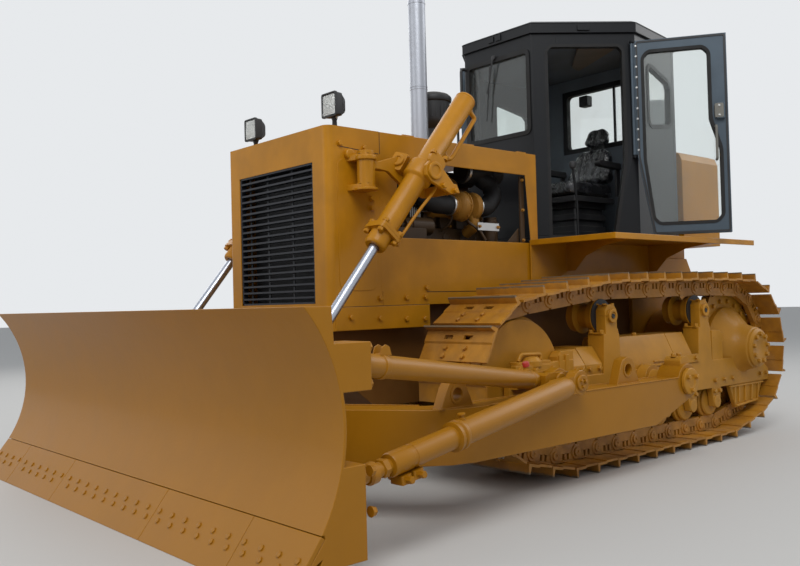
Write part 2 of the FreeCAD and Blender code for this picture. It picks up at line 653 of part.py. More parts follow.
def turbocharger():
    """Two housings on a shaft, the manifold that carries them and the pipe to the stack."""
    y, z = TURBO_YZ
    turbo = faceted((2000, y, z), (1, 0, 0),
                    ((0, 52), (12, 88), (62, 92), (78, 40), (118, 40), (134, 96), (196, 88), (210, 62),
                     (240, 62)), 14)
    manifold = box(1860, 2340, HEAD_LEFT_Y, HEAD_LEFT_Y + 72, z - 80, z + 20)
    flange = box(2075, 2125, HEAD_LEFT_Y + 72, y, z - 100, z)
    stack_x, stack_y = STACK[0], STACK[1]
    outlet = bent_tube([(2100, HEAD_LEFT_Y + 38, z), (2100, HEAD_LEFT_Y + 38, z + 150),
                        (stack_x, stack_y + 30, 1880), (stack_x, stack_y, 1930),
                        (stack_x, stack_y, NOSE_TOP - SIDE_WALL - 0.3)], 34, 8)
    return fuse([turbo, manifold, flange, outlet])


def engine_air():
    """Black intake hose with the filter, and the duct from the turbocharger to the engine."""
    y, z = TURBO_YZ
    duct = bent_tube([(2240.3, y, z), (2400, y, z), (2520, y - 68, z + 95), (2640, y - 150, z + 135)],
                     58, 8)
    hose = bent_tube([(1999.7, y, z), (1905, y, z), (1825, y, z + 75), (1815, y - 30, z + 160),
                      (1900, y - 80, z + 230)], 60, 10)
    canister = faceted((1700, y - 80, z + 250), (1, 0, 0), ((0, 78), (350, 78)), 12)
    return group([duct, fuse([hose, canister])])


def radiator_guard():
    """Open-backed box round the radiator, with the window for the grille."""
    outer = box(NOSE_REAR_X, NOSE_FRONT_X, -NOSE_HALF_W, NOSE_HALF_W, NOSE_BOTTOM, NOSE_TOP)
    upright = [e for e in outer.Edges
               if e.BoundBox.XLength < 1 and e.BoundBox.YLength < 1 and e.BoundBox.XMin > NOSE_FRONT_X - 1]
    outer = outer.makeFillet(NOSE_CORNER_R, upright)
    room = box(NOSE_REAR_X - 1, NOSE_FRONT_X - NOSE_WALL, -NOSE_HALF_W + NOSE_WALL, NOSE_HALF_W - NOSE_WALL,
               NOSE_BOTTOM - 1, NOSE_TOP - NOSE_WALL)
    window = box(NOSE_FRONT_X - NOSE_WALL - 1, NOSE_FRONT_X + 1, -GRILLE_HALF_W, GRILLE_HALF_W, *GRILLE_Z)
    frame = box(NOSE_FRONT_X - NOSE_WALL - 30, NOSE_FRONT_X - NOSE_WALL,
                -GRILLE_HALF_W - 20, GRILLE_HALF_W + 20, GRILLE_Z[0] - 20, GRILLE_Z[1] + 20)
    hole = box(NOSE_FRONT_X - NOSE_WALL - 31, NOSE_FRONT_X, -GRILLE_HALF_W, GRILLE_HALF_W, *GRILLE_Z)
    return fuse([outer.cut(room).cut(window), frame.cut(hole)])


def radiator_grille():
    """Sloping slats across the window, with uprights behind them."""
    z0, z1 = GRILLE_Z
    front = NOSE_FRONT_X - 4
    back = front - SLAT_DEPTH
    bars = [box(back - 14, back - 0.5, y - 8, y + 8, z0, z1) for y in (-260, 0, 260)]
    step = (z1 - z0) / (SLATS + 1)
    for i in range(SLATS):
        z = z0 + step * (i + 1)
        bars.append(prism_y([(back, z - 5), (front, z + 3), (front, z + 3 + SLAT_T),
                             (back, z - 5 + SLAT_T)], -GRILLE_HALF_W, GRILLE_HALF_W))
    return group(bars)


def hood():
    """Cover over the engine with a post at the rear of the open bay on each side."""
    front = NOSE_REAR_X - SEAM
    pieces = [box(HOOD_REAR_X, front, -NOSE_HALF_W, NOSE_HALF_W, NOSE_TOP - SIDE_WALL, NOSE_TOP)]
    for side in (-1, 1):
        y0, y1 = sorted((side * NOSE_HALF_W, side * (NOSE_HALF_W - SIDE_WALL)))
        pieces.append(prism_y([(BAY_FRONT_X, SIDE_SILL_Z), (front, SIDE_SILL_Z), (front, NOSE_TOP),
                               (HOOD_REAR_X, NOSE_TOP), (HOOD_REAR_X, SIDE_SILL_Z),
                               (HOOD_REAR_X + 72, SIDE_SILL_Z),
                               (HOOD_REAR_X + 115, BAY_TOP_Z), (BAY_FRONT_X, BAY_TOP_Z)], y0, y1))
    return fuse(pieces)


def side_panels():
    """Lower engine sides, from the sill of the bay down to the hull."""
    front = NOSE_REAR_X - SEAM
    skin_in = NOSE_HALF_W - SIDE_WALL
    skin = prism_y([(HOOD_REAR_X, HULL_TOP), (SIDE_DROP_X, HULL_TOP), (SIDE_DROP_X, NOSE_BOTTOM),
                    (front, NOSE_BOTTOM), (front, SIDE_SILL_Z), (HOOD_REAR_X, SIDE_SILL_Z)],
                   skin_in, NOSE_HALF_W)
    shelf = box(HOOD_REAR_X, front, HULL_HALF_W - 30, skin_in, HULL_TOP, HULL_TOP + 12)
    sill = box(HOOD_REAR_X, front, skin_in - 50, skin_in, SIDE_SILL_Z - 12, SIDE_SILL_Z)
    return both_sides(fuse([skin, shelf, sill]))


def exhaust_stack():
    """Upright pipe on a flange, bent to the rear at its top."""
    x, y = STACK
    flange = faceted((x, y, NOSE_TOP), (0, 0, 1), ((0, 82), (16, 82)), 16)
    turn = [math.radians(a) for a in (15, 40, 65)]
    bend_r, bend_z = 120.0, 3040.0
    path = [(x, y, NOSE_TOP + 10), (x, y, bend_z)]
    path += [(x - bend_r * (1 - math.cos(a)), y, bend_z + bend_r * math.sin(a)) for a in turn]
    end = path[-1]
    path.append((end[0] - 90, y, end[2] + 30))
    return fuse([flange, bent_tube(path, STACK_R, 16)])


def precleaner():
    x, y = CLEANER
    return faceted((x, y, NOSE_TOP), (0, 0, 1),
                   ((0, 55), (250, 55), (262, 92), (330, 130), (430, 130), (462, 70)), 16)


def work_lamps():
    """Lamps on stalks at the front corners of the nose's top."""
    stalk = box(3190, 3226, 398, 426, NOSE_TOP, 2075)
    shell = prism_y([(3160, 2088), (3200, 2068), (3248, 2068), (3248, 2204), (3200, 2204), (3160, 2180)],
                    346, 478)
    return both_sides(fuse([stalk, shell]))


def cylinder_yokes():
    """Brackets on the nose: a swivel on an upright pin, with two cheeks for the cylinder."""
    plate = box(3030, 3300, NOSE_HALF_W, NOSE_HALF_W + 30, 1585, 1880)
    pivot_x, pivot_y = YOKE_X + 280, NOSE_HALF_W + 85
    lobe = [(pivot_x - 70, NOSE_HALF_W + 30), (pivot_x + 70, NOSE_HALF_W + 30),
            (pivot_x + 48, pivot_y + 22), (pivot_x + 22, pivot_y + 48),
            (pivot_x - 22, pivot_y + 48), (pivot_x - 48, pivot_y + 22)]
    lobes = [prism_z(lobe, YOKE_Z - 97, YOKE_Z - 63), prism_z(lobe, YOKE_Z + 66, YOKE_Z + 100)]
    post = faceted((pivot_x, pivot_y, YOKE_Z - 97), (0, 0, 1), ((0, 50), (215, 50)), 12)
    cheek = [(YOKE_X - 195, YOKE_Z - 110), (YOKE_X - 125, YOKE_Z - 120), (YOKE_X + 50, YOKE_Z - 60),
             (YOKE_X + 150, YOKE_Z + 12), (YOKE_X + 220, YOKE_Z + 20), (YOKE_X + 220, YOKE_Z + 62),
             (YOKE_X + 80, YOKE_Z + 104), (YOKE_X - 40, YOKE_Z + 60)]
    ear = [(YOKE_X - 195, YOKE_Z - 110), (YOKE_X - 125, YOKE_Z - 120), (YOKE_X + 30, YOKE_Z - 56),
           (YOKE_X + 58, YOKE_Z - 25), (YOKE_X + 58, YOKE_Z + 28), (YOKE_X + 28, YOKE_Z + 58),
           (YOKE_X - 26, YOKE_Z + 58), (YOKE_X - 60, YOKE_Z + 25)]
    near_y, far_y = LIFT_Y - CHEEK_FROM_MID - CHEEK_T, LIFT_Y + CHEEK_FROM_MID
    cheeks = [prism_y(cheek, near_y, near_y + CHEEK_T), prism_y(ear, far_y, far_y + CHEEK_T)]
    bridge = prism_y([(YOKE_X - 195, YOKE_Z - 110), (YOKE_X - 125, YOKE_Z - 120),
                      (YOKE_X - 125, YOKE_Z - 62), (YOKE_X - 170, YOKE_Z - 62)], near_y, far_y + CHEEK_T)
    arm = box(YOKE_X + 145, pivot_x, pivot_y - 30, LIFT_Y - CHEEK_FROM_MID, YOKE_Z + 20, YOKE_Z + 62)
    flats_r = (YOKE_PIN_R + FIT) / math.cos(math.pi / YOKE_PIN_SIDES)
    bore = flat_bore(YOKE_X, YOKE_Z, LIFT_Y - 200, LIFT_Y + 200, flats_r, YOKE_PIN_SIDES)
    return both_sides(fuse([plate, post, bridge, arm] + lobes + cheeks).cut(bore))


# Cab
def plan(distance):
    right = [(x, -y) for x, y in reversed(CAB_PLAN)]
    return inset(right + list(CAB_PLAN), distance)


def wall_ring(z0, z1, out, wall):
    return prism_z(plan(out), z0, z1).cut(prism_z(plan(out + wall), z0 - 1, z1 + 1))


FACE_LEN = math.dist(CAB_PLAN[0], CAB_PLAN[1])
FACE_DIR = V(CAB_PLAN[1][0] - CAB_PLAN[0][0], CAB_PLAN[1][1] - CAB_PLAN[0][1], 0) / FACE_LEN
FACE_OUT = V(FACE_DIR.y, -FACE_DIR.x, 0)
HINGE_S = DOOR[2][0] + HINGE_FROM_DOOR
HINGE_AT = V(CAB_PLAN[0][0], CAB_PLAN[0][1], 0) + FACE_DIR * HINGE_S + FACE_OUT * (DOOR_GAP + DOOR_T / 2)


def on_face(s, n, z):
    """Point of the slanted left side: s from its front corner, n outwards."""
    return V(CAB_PLAN[0][0], CAB_PLAN[0][1], z) + FACE_DIR * s + FACE_OUT * n


def face_prism(outline, n0, n1):
    """An outline of (s, z) points on the slanted left side, pushed from n0 to n1."""
    corners = [on_face(s, n0, z) for s, z in outline]
    return Part.Face(Part.makePolygon(corners + corners[:1])).extrude(FACE_OUT * (n1 - n0))


def cab_walls():
    """The wall ring, cut into its front, its two sides and its rear."""
    ring = wall_ring(CAB_SILL_Z, CAB_EAVE_Z, 0, CAB_WALL)
    doorway = face_prism(DOORWAY, -150, 60)
    ring = ring.cut(doorway).cut(mirrored(doorway))
    split_front = on_face(DOORWAY_SPLIT, 0, 0).x
    split_rear = CAB_PLAN[2][0] + CAB_WALL
    low, high = CAB_SILL_Z - 1, CAB_EAVE_Z + 1
    front_x = CAB_PLAN[0][0]
    front = ring.common(box(split_front, front_x + 1, -900, 900, low, high))
    front = front.cut(box(front_x - 100, front_x + 1, -WINDSCREEN_HALF_W, WINDSCREEN_HALF_W, *WINDSCREEN_Z))
    rear = ring.common(box(0, split_rear, -900, 900, low, high))
    rear = rear.cut(box(0, split_rear + 100, -REAR_PANE_HALF_W, REAR_PANE_HALF_W, *REAR_PANE_Z))
    side = ring.common(box(split_rear, split_front, 0, 900, low, high))
    side = side.cut(prism_y(list(QUARTER_PANE), 500, 900))
    stops = []
    for z in (HINGE_Z[0] - 23, HINGE_Z[1] + 3):
        near, far = HINGE_S - HINGE_R + 2, HINGE_S + HINGE_R
        stops.append(face_prism([(near, z), (far, z), (far, z + 20), (near, z + 20)],
                                -8, DOOR_GAP + DOOR_T / 2 + HINGE_R))
    return front, fuse([side] + stops), rear


def cab_roof():
    """Upright fascia just outside the walls, chamfered up to the top."""
    shoulder = CAB_TOP_Z - ROOF_CHAMFER
    fascia = prism_z(plan(-ROOF_LIP), CAB_EAVE_Z, shoulder)
    top = polyhedron([[V(x, y, shoulder) for x, y in plan(-ROOF_LIP)],
                      [V(x, y, CAB_TOP_Z) for x, y in plan(2 * ROOF_CHAMFER - ROOF_LIP)]])
    lining = prism_z(plan(CAB_WALL), CAB_EAVE_Z - 1, CAB_TOP_Z - 45)
    return fuse([fascia, top]).cut(lining)


def cab_base():
    floor = prism_z(plan(0), CAB_BASE_Z, CAB_SILL_Z)
    pedestal = box(CAB_PLAN[2][0], 1250, -400, 400, CASE_TOP, CAB_BASE_Z)
    leg = box(1180, 1240, HULL_HALF_W - 130, HULL_HALF_W - 35, HULL_TOP, CASE_TOP)
    return fuse([floor, pedestal, leg, mirrored(leg)])


def door(angle):
    """Left door with its pane, its long hinge, turned from closed."""
    leaf = face_prism(DOOR, DOOR_GAP, DOOR_GAP + DOOR_T).cut(face_prism(DOOR_PANE, 0, 100))
    z0, z1 = HINGE_Z
    knuckle = Part.makeCylinder(HINGE_R, z1 - z0, V(HINGE_AT.x, HINGE_AT.y, z0))
    edge = DOOR[2][0] - 6
    strap = face_prism([(edge, z0), (HINGE_S, z0), (HINGE_S, z1), (edge, z1)],
                       DOOR_GAP + DOOR_T / 2 - 4, DOOR_GAP + DOOR_T / 2 + 4)
    latch = face_prism([(112, 2240), (165, 2240), (165, 2350), (112, 2350)], -25, DOOR_GAP)
    glass = face_prism(DOOR_PANE, DOOR_GAP + GLASS_IN, DOOR_GAP + GLASS_IN + GLASS_T)
    leaf = fuse([leaf, latch, strap, knuckle])
    for shape in (leaf, glass):
        shape.rotate(V(HINGE_AT.x, HINGE_AT.y, 0), V(0, 0, 1), angle)
    return leaf, glass


def cab_glass():
    """The fixed panes, each inside the opening that it closes."""
    front_x, rear_x = CAB_PLAN[0][0] - GLASS_IN, CAB_PLAN[2][0] + GLASS_IN
    front = box(front_x - GLASS_T, front_x, -WINDSCREEN_HALF_W, WINDSCREEN_HALF_W, *WINDSCREEN_Z)
    rear = box(rear_x, rear_x + GLASS_T, -REAR_PANE_HALF_W, REAR_PANE_HALF_W, *REAR_PANE_Z)
    band = wall_ring(CAB_SILL_Z, CAB_EAVE_Z, GLASS_IN, GLASS_T)
    band = band.common(prism_y(list(QUARTER_PANE), 500, 900))
    return group([front, rear, band, mirrored(band)])


def seat():
    """Cushion, back and head rest on a box, all closed solids."""
    base = box(450, 900, SEAT_Y - 200, SEAT_Y + 200, CAB_SILL_Z, 1790)
    cushion = prism_y([(400, 1790), (920, 1790), (985, 1830), (975, 1895), (910, 1915), (440, 1905)],
                      SEAT_Y - 245, SEAT_Y + 245)
    back = prism_y([(420, 1880), (520, 1905), (420, 2200), (370, 2235), (300, 2225)],
                   SEAT_Y - 235, SEAT_Y + 235)
    head = prism_y([(325, 2225), (382, 2228), (310, 2400), (260, 2410), (230, 2390)],
                   SEAT_Y - 160, SEAT_Y + 160)
    return fuse([base, cushion, back, head])


def console():
    """Dash under the windscreen and the lever box beside the seat."""
    dash = prism_y([(1180, CAB_SILL_Z), (1320, CAB_SILL_Z), (1320, 2120), (1250, 2120), (1180, 2010)],
                   -270, 270)
    levers = prism_y([(480, CAB_SILL_Z), (980, CAB_SILL_Z), (980, 1820), (860, 1985), (480, 1985)],
                     -440, -300)
    return group([dash, levers])


def fenders():
    """Decks over the tracks with a lip, gussets under them and an apron down to the hull."""
    top = CAB_BASE_Z
    out_y = TRACK_OUT_Y + 5
    front, rear = 1700.0, -60.0
    in_y = NOSE_HALF_W + SIDE_WALL
    deck = prism_z([(front, in_y), (front, out_y), (rear, out_y), (rear, 720), (130, 720), (130, in_y)],
                   top - 8, top)
    lips = [box(rear, front, out_y - 8, out_y, top - 38, top),
            box(front - 8, front, in_y, out_y, top - 38, top)]
    apron = box(CAB_PLAN[2][0], front, in_y, in_y + 10, HULL_TOP, top)
    foot = box(HULL_REAR_X + SEAM, HOOD_REAR_X - SEAM, HULL_HALF_W - 30, in_y + 10, HULL_TOP, HULL_TOP + 12)
    gusset = [(in_y + 10, top - 8), (out_y - 60, top - 8), (in_y + 330, top - 46), (in_y + 170, top - 110),
              (in_y + 80, top - 205), (in_y + 10, top - 205)]
    gussets = [prism_x(gusset, x, x + 12) for x in (300, 1310)]
    return both_sides(fuse([deck, apron, foot] + lips + gussets))


def fuel_tank():
    """Tank behind the cab, its upper edges broken."""
    half, top = 700.0, 2155.0
    outline = [(-half, CAB_BASE_Z), (half, CAB_BASE_Z), (half, top - 75), (half - 22, top - 22),
               (half - 75, top), (75 - half, top), (22 - half, top - 22), (-half, top - 75)]
    body = prism_x(outline, TANK_X[0], TANK_X[1])
    foot = box(TANK_X[0] + 110, TANK_X[1] - 20, -440, 440, CASE_TOP, CAB_BASE_Z)
    return fuse([body, foot])


# Blade
def blade_arc(points, shift):
    """Arc of the blade's face through three (x, z) points, moved along X."""
    return Part.Arc(*[V(BALL_X + x + shift, 0, z) for x, z in points]).toShape()


def swept_y(edges, y0, y1):
    """A face closed by edges in the plane y = 0, pushed from y0 to y1."""
    face = Part.Face(Part.Wire(Part.sortEdges(edges)[0]))
    face.translate(V(0, y0, 0))
    return face.extrude(V(0, y1 - y0, 0))


def line(a, b):
    return Part.makeLine(V(a[0], 0, a[1]), V(b[0], 0, b[1]))


def between_arcs(shift0, shift1, y0, y1):
    """Plate between the blade's arc at two shifts along X."""
    points = (BLADE_EDGE, BLADE_DEEP, BLADE_TOP)
    low, top = ([BALL_X + p[0], p[1]] for p in (BLADE_EDGE, BLADE_TOP))
    edges = [blade_arc(points, shift0), blade_arc(points, shift1)]
    for x, z in (low, top):
        edges.append(line((x + shift0, z), (x + shift1, z)))
    return swept_y(edges, y0, y1)


def edge_corners():
    """Cutting edge section: upper front, tip, lower back, upper back."""
    top, tip = (BALL_X + BLADE_EDGE[0], BLADE_EDGE[1]), (BALL_X + BLADE_TIP[0], BLADE_TIP[1])
    length = math.dist(top, tip)
    ux, uz = (tip[0] - top[0]) / length, (tip[1] - top[1]) / length
    return [top, tip, (tip[0] - EDGE_T, tip[1]), (top[0] + uz * EDGE_T, top[1] - ux * EDGE_T)]


def moldboard():
    """Curved plate with two box beams, ribs, end plates and brace brackets behind it."""
    half, wall_x = BLADE_HALF_W, BALL_X + BOX_BACK
    ahead = BALL_X + BLADE_TOP[0]
    plate = between_arcs(0, -BLADE_T, -half, half)
    upper = box(wall_x, ahead, -half + 1, half - 1, *BOX_UPPER_Z)
    edge_top, _, edge_foot, edge_back = edge_corners()
    mid = ((edge_back[0] + edge_foot[0]) / 2, (edge_back[1] + edge_foot[1]) / 2)
    z0, z1 = BOX_LOWER_Z
    lower = prism_y([(wall_x, z1), (wall_x, z0), (mid[0] - 14, mid[1]), mid, edge_back,
                     (edge_top[0] - BLADE_T, edge_top[1]), (ahead, edge_top[1]), (ahead, z1)], -half, half)
    top_z = BLADE_TOP[1]
    flange = box(ahead - 70, ahead - 5, -half, half, top_z - 14, top_z)
    behind = [upper, lower, flange]
    for y in [s * y for y in RIB_Y for s in (-1, 1)]:
        behind.append(prism_y([(wall_x + 10, z1 - 5), (ahead, z1 - 5), (ahead, top_z - 5),
                               (ahead - 90, top_z - 5), (wall_x + 10, BOX_UPPER_Z[1])],
                              y - RIB_T / 2, y + RIB_T / 2))
    for y0, y1 in ((-half, END_PLATE_T - half), (half - END_PLATE_T, half)):
        behind.append(prism_y([(wall_x + 45, BOX_UPPER_Z[0]), (ahead, BOX_UPPER_Z[0]), (ahead, top_z),
                               (ahead - 124, top_z), (ahead - 132, BOX_UPPER_Z[1])], y0, y1))
    pad_x = BALL_X + PAD_AHEAD
    for y0, y1 in ((-half, PAD_W - half), (half - PAD_W, half)):
        behind.append(box(pad_x, ahead, y0, y1, *BOX_UPPER_Z))
        behind.append(prism_y([(pad_x + 40, 75), (mid[0] - 40, 75), (edge_back[0] - 20, z0 - 20),
                               (wall_x + 60, z1), (pad_x + 40, z1)], y0, y1))
    socket = box(BALL_X + 75, ahead, -190, 190, z0 + 60, z1 + 60)
    behind.append(socket)
    room = between_arcs(-BLADE_T / 2, 600, -half - 10, half + 10)
    neck = faceted((BALL_X + 55.3, 0, ARM_BOTTOM + 130), (1, 0, 0), ((0, BALL_R), (40, BALL_R)), 12)
    return fuse([plate, neck] + [piece.cut(room) for piece in behind])


def cutting_edge():
    """Edge plates bolted below the blade, with a seam between neighbours."""
    stations = [-BLADE_HALF_W] + list(EDGE_SEAMS) + [BLADE_HALF_W]
    corners = edge_corners()
    return group([prism_y(corners, y0 + 1, y1 - 1) for y0, y1 in zip(stations, stations[1:])])


def push_arm_plan():
    """Outer and inner edge of the left arm, from the trunnion to the middle."""
    outer = [(TRUNNION_X, ARM_OUT_Y), (BEND_X - 40, ARM_OUT_Y), (BEND_X + 80, ARM_OUT_Y - 28),
             (BEND_X + 190, ARM_OUT_Y - 112), (BALL_X - 185, 760), (BALL_X, 190), (BALL_X, 0)]
    inner = [(BALL_X - 190, 0), (BALL_X - 190, 150), (BALL_X - 345, 680), (BEND_X + 70, ARM_IN_Y - 75),
             (BEND_X - 60, ARM_IN_Y), (TRUNNION_X, ARM_IN_Y)]
    return outer + inner


def arm_lug(x, z, bore):
    """Lug on top of the left arm with its bore cut."""
    lug = prism_y([(x - 110, ARM_TOP - 5), (x + 110, ARM_TOP - 5), (x + LUG_R - 4, z + 24),
                   (x + 48, z + 56), (x, z + LUG_R), (x - 48, z + 56), (x - LUG_R + 4, z + 24)],
                  ARM_MID_Y - LUG_T / 2, ARM_MID_Y + LUG_T / 2)
    return lug.cut(bore)


def c_frame():
    """Push frame: two arms joined at the nose, brace lugs, and cheeks for the rod eyes."""
    half = prism_z(push_arm_plan(), ARM_BOTTOM, ARM_TOP)
    tail = prism_y([(TRUNNION_X - 1, ARM_BOTTOM - 1), (TRUNNION_X + 363, ARM_BOTTOM - 1),
                    (TRUNNION_X - 1, 390)], ARM_IN_Y - 1, ARM_OUT_Y + 1)
    end = faceted((TRUNNION_X, ARM_IN_Y, TRUNNION_Z), (0, 1, 0), ((0, 108), (ARM_W, 108)), 16)
    bore = rod_y(TRUNNION_X, TRUNNION_Z, ARM_IN_Y - 5, ARM_OUT_Y + 5, TRUNNION_R + FIT)
    solid = fuse([half.cut(tail), end]).cut(bore)
    pieces = [solid]
    flats_r = (LUG_BORE_R + FIT) / math.cos(math.pi / PIN_SIDES)
    for i, (x, z) in enumerate(zip(LUG_X, LUG_Z)):
        if i == 2:
            hole = rod_y(x, z, ARM_IN_Y, ARM_OUT_Y, LUG_BORE_R)
        else:
            hole = flat_bore(x, z, ARM_IN_Y, ARM_OUT_Y, flats_r, PIN_SIDES)
        pieces.append(arm_lug(x, z, hole))
    for side in (-1, 1):
        face = EYE_W / 2 + CHEEK_GAP
        y0, y1 = sorted((LIFT_Y + side * face, LIFT_Y + side * (face + CHEEK_T)))
        pieces.append(prism_y([(EYE_X - 140, ARM_TOP - 5), (EYE_X + 90, ARM_TOP - 5),
                               (EYE_X + 62, EYE_Z + 28), (EYE_X + 28, EYE_Z + 62),
                               (EYE_X - 28, EYE_Z + 62), (EYE_X - 62, EYE_Z + 28)], y0, y1))
    solid = fuse(pieces)
    cup = faceted((BALL_X - 10, 0, ARM_BOTTOM + 130), (1, 0, 0), ((0, 115), (65, 100)), 12)
    return fuse([solid, mirrored(solid), cup])


def upper_braces():
    """Struts with a fork over the middle lugs, and the pins that hold both braces there."""
    x, z = LUG_X[1], LUG_Z[1]
    inner_y = UPPER_EYE_Y - BRACE_EYE_W / 2
    plates = [faceted((x, y, z), (0, 1, 0), ((0, 58), (width, 58)), 10)
              for y, width in ((inner_y, BRACE_EYE_W), (FORK_OUT_Y, FORK_PLATE_T))]
    for y, width in ((inner_y, BRACE_EYE_W), (FORK_OUT_Y, FORK_PLATE_T)):
        plates.append(box(x, x + 170, y, y + width, z - 26, z + 50))
    yoke = box(x + 122, x + 175, inner_y, FORK_OUT_Y + FORK_PLATE_T, z - 26, z + 50)
    end = (BALL_X + PAD_AHEAD - 12, BLADE_HALF_W - 95, (BOX_UPPER_Z[0] + BOX_UPPER_Z[1]) / 2)
    strut = strut_between((x + 150, ARM_MID_Y, z + 14), end,
                          ((0, 38), (0.05, 38), (0.05, UPPER_BRACE_R), (1, UPPER_BRACE_R)))
    reach = LOWER_EYE_Y + BRACE_EYE_W / 2
    pin = faceted((x, inner_y - 14, z), (0, 1, 0),
                  ((0, LUG_BORE_R), (reach - inner_y + 14, LUG_BORE_R)), PIN_SIDES)
    retainer = faceted((x, reach, z), (0, 1, 0), ((0, RETAINER_R), (14, RETAINER_R)), PIN_SIDES)
    return both_sides(fuse(plates + [yoke, strut, pin, retainer]))


def strut_between(start, end, profile):
    """Flat-sided round strut; the profile holds (share of the length, radius)."""
    length = math.dist(start, end)
    direction = [b - a for a, b in zip(start, end)]
    return faceted(start, direction, [(share * length, r) for share, r in profile], 10)


def lower_braces():
    """Adjustable struts from the outer ends of the same pins to the foot of the blade."""
    x, z = LUG_X[1], LUG_Z[1]
    end = (BALL_X + PAD_AHEAD + 30, BLADE_HALF_W - 85, BOX_LOWER_Z[1] - 75)
    strut = strut_between((x, LOWER_EYE_Y, z), end,
                          ((0.06, 40), (0.08, LOWER_BRACE_R), (0.60, LOWER_BRACE_R), (0.60, 68), (0.64, 68),
                           (0.64, 49), (0.90, 49), (0.90, 27), (1, 27)))
    eye = faceted((x, LOWER_EYE_Y - BRACE_EYE_W / 2, z), (0, 1, 0), ((0, 78), (BRACE_EYE_W, 78)), 12)
    tongue = box(x + 40, x + 195, LOWER_EYE_Y - BRACE_EYE_W / 2, LOWER_EYE_Y + BRACE_EYE_W / 2,
                 z - 52, z + 30)
    flats_r = (LUG_BORE_R + FIT) / math.cos(math.pi / PIN_SIDES)
    bore = flat_bore(x, z, LOWER_EYE_Y - 60, LOWER_EYE_Y + 60, flats_r, PIN_SIDES)
    return both_sides(fuse([strut, eye, tongue]).cut(bore))


# Lift cylinders
def on_lift(distance, away=0.0):
    """Point on the left cylinder's axis, or beside it on its upper rear side."""
    return (YOKE_X + LIFT_DIR[0] * distance + LIFT_DIR[1] * away, LIFT_Y,
            YOKE_Z + LIFT_DIR[1] * distance - LIFT_DIR[0] * away)


def lift_barrel():
    """Barrel with its collar, pins and head flange, bored for the rod."""
    along = (LIFT_DIR[0], 0, LIFT_DIR[1])
    shell = faceted(on_lift(-BARREL_BACK), along,
                    ((0, BARREL_R), (BARREL_BACK - 60, BARREL_R), (BARREL_BACK - 60, COLLAR_R),
                     (BARREL_BACK + 60, COLLAR_R), (BARREL_BACK + 60, BARREL_R),
                     (BARREL_BACK + BARREL_FRONT, BARREL_R)), 18)
    reach = CHEEK_FROM_MID + CHEEK_T
    pins = rod_y(YOKE_X, YOKE_Z, LIFT_Y - reach, LIFT_Y + reach, YOKE_PIN_R)
    corners = []
    for away, y in ((78, 78), (-78, 78), (-78, -78), (78, -78)):
        x, _, z = on_lift(BARREL_FRONT - 120, away)
        corners.append(V(x, LIFT_Y + y, z))
    flange = Part.Face(Part.makePolygon(corners + corners[:1])).extrude(V(*along) * 38)
    bore = rod(on_lift(BARREL_FLOOR - BARREL_BACK), on_lift(BARREL_FRONT + 1), ROD_R + FIT)
    return fuse([shell, pins, flange]).cut(bore)


def lift_rod():
    """Rod with the eye at its foot."""
    shaft = rod(on_lift(LIFT_LEN - ROD_LENGTH), on_lift(LIFT_LEN - 20), ROD_R)
    eye = faceted((EYE_X, LIFT_Y - EYE_W / 2, EYE_Z), (0, 1, 0), ((0, EYE_R), (EYE_W, EYE_R)), 14)
    return fuse([shaft, eye])


def build():
    os.makedirs("parts", exist_ok=True)
    save_pair("track", track())
    save_pair("track_frame", track_frame())
    save("track_rollers", track_rollers())
    save("idlers", idlers())
    save("sprockets", sprockets())
    save("main_frame", main_frame())
    save("equalizer_bar", equalizer_bar())
    save("rear_case", rear_case())
    save("drawbar", drawbar())
    save("engine", engine())
    save("radiator", radiator())
    save("turbocharger", turbocharger())
    save("engine_air", engine_air())
    save("radiator_guard", radiator_guard())
    save("radiator_grille", radiator_grille())
    save("hood", hood())
    save("side_panels", side_panels())
    save("exhaust_stack", exhaust_stack())
    save("precleaner", precleaner())
    save("work_lamps", work_lamps())
    save("cylinder_yokes", cylinder_yokes())
    front, side, rear = cab_walls()
    save("cab_front", front)
    save_pair("cab_side", side)
    save("cab_rear", rear)
    save("cab_roof", cab_roof())
    save("cab_base", cab_base())
    save("cab_glass", cab_glass())
    leaf, glass = door(DOOR_OPEN_DEG)
    save("door_left", leaf)
    save("door_glass_left", glass)
    leaf, glass = door(0)
    save("door_right", mirrored(leaf))
    save("door_glass_right", mirrored(glass))
    save("seat", seat())
    save("console", console())
    save("fenders", fenders())
    save("fuel_tank", fuel_tank())
    save("moldboard", moldboard())
    save("cutting_edge", cutting_edge())
    save("c_frame", c_frame())
    save("upper_braces", upper_braces())
    save("lower_braces", lower_braces())
    save_pair("lift_barrel", lift_barrel())
    save_pair("lift_rod", lift_rod())


build()
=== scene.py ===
import bmesh
import bpy
import math
from mathutils import Matrix, Vector


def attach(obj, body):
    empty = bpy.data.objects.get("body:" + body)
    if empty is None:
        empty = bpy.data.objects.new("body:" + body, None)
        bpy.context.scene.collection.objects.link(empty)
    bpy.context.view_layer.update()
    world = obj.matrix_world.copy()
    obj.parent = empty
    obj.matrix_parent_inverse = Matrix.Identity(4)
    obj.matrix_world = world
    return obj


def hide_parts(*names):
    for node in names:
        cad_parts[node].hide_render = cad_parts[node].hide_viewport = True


# Crawler bulldozer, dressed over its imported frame.
# Drawing sizes are in millimetres, +X forward from the sprocket axle, +Y to the machine's left and
# +Z up from the ground; mm() turns them into the frame's metres.

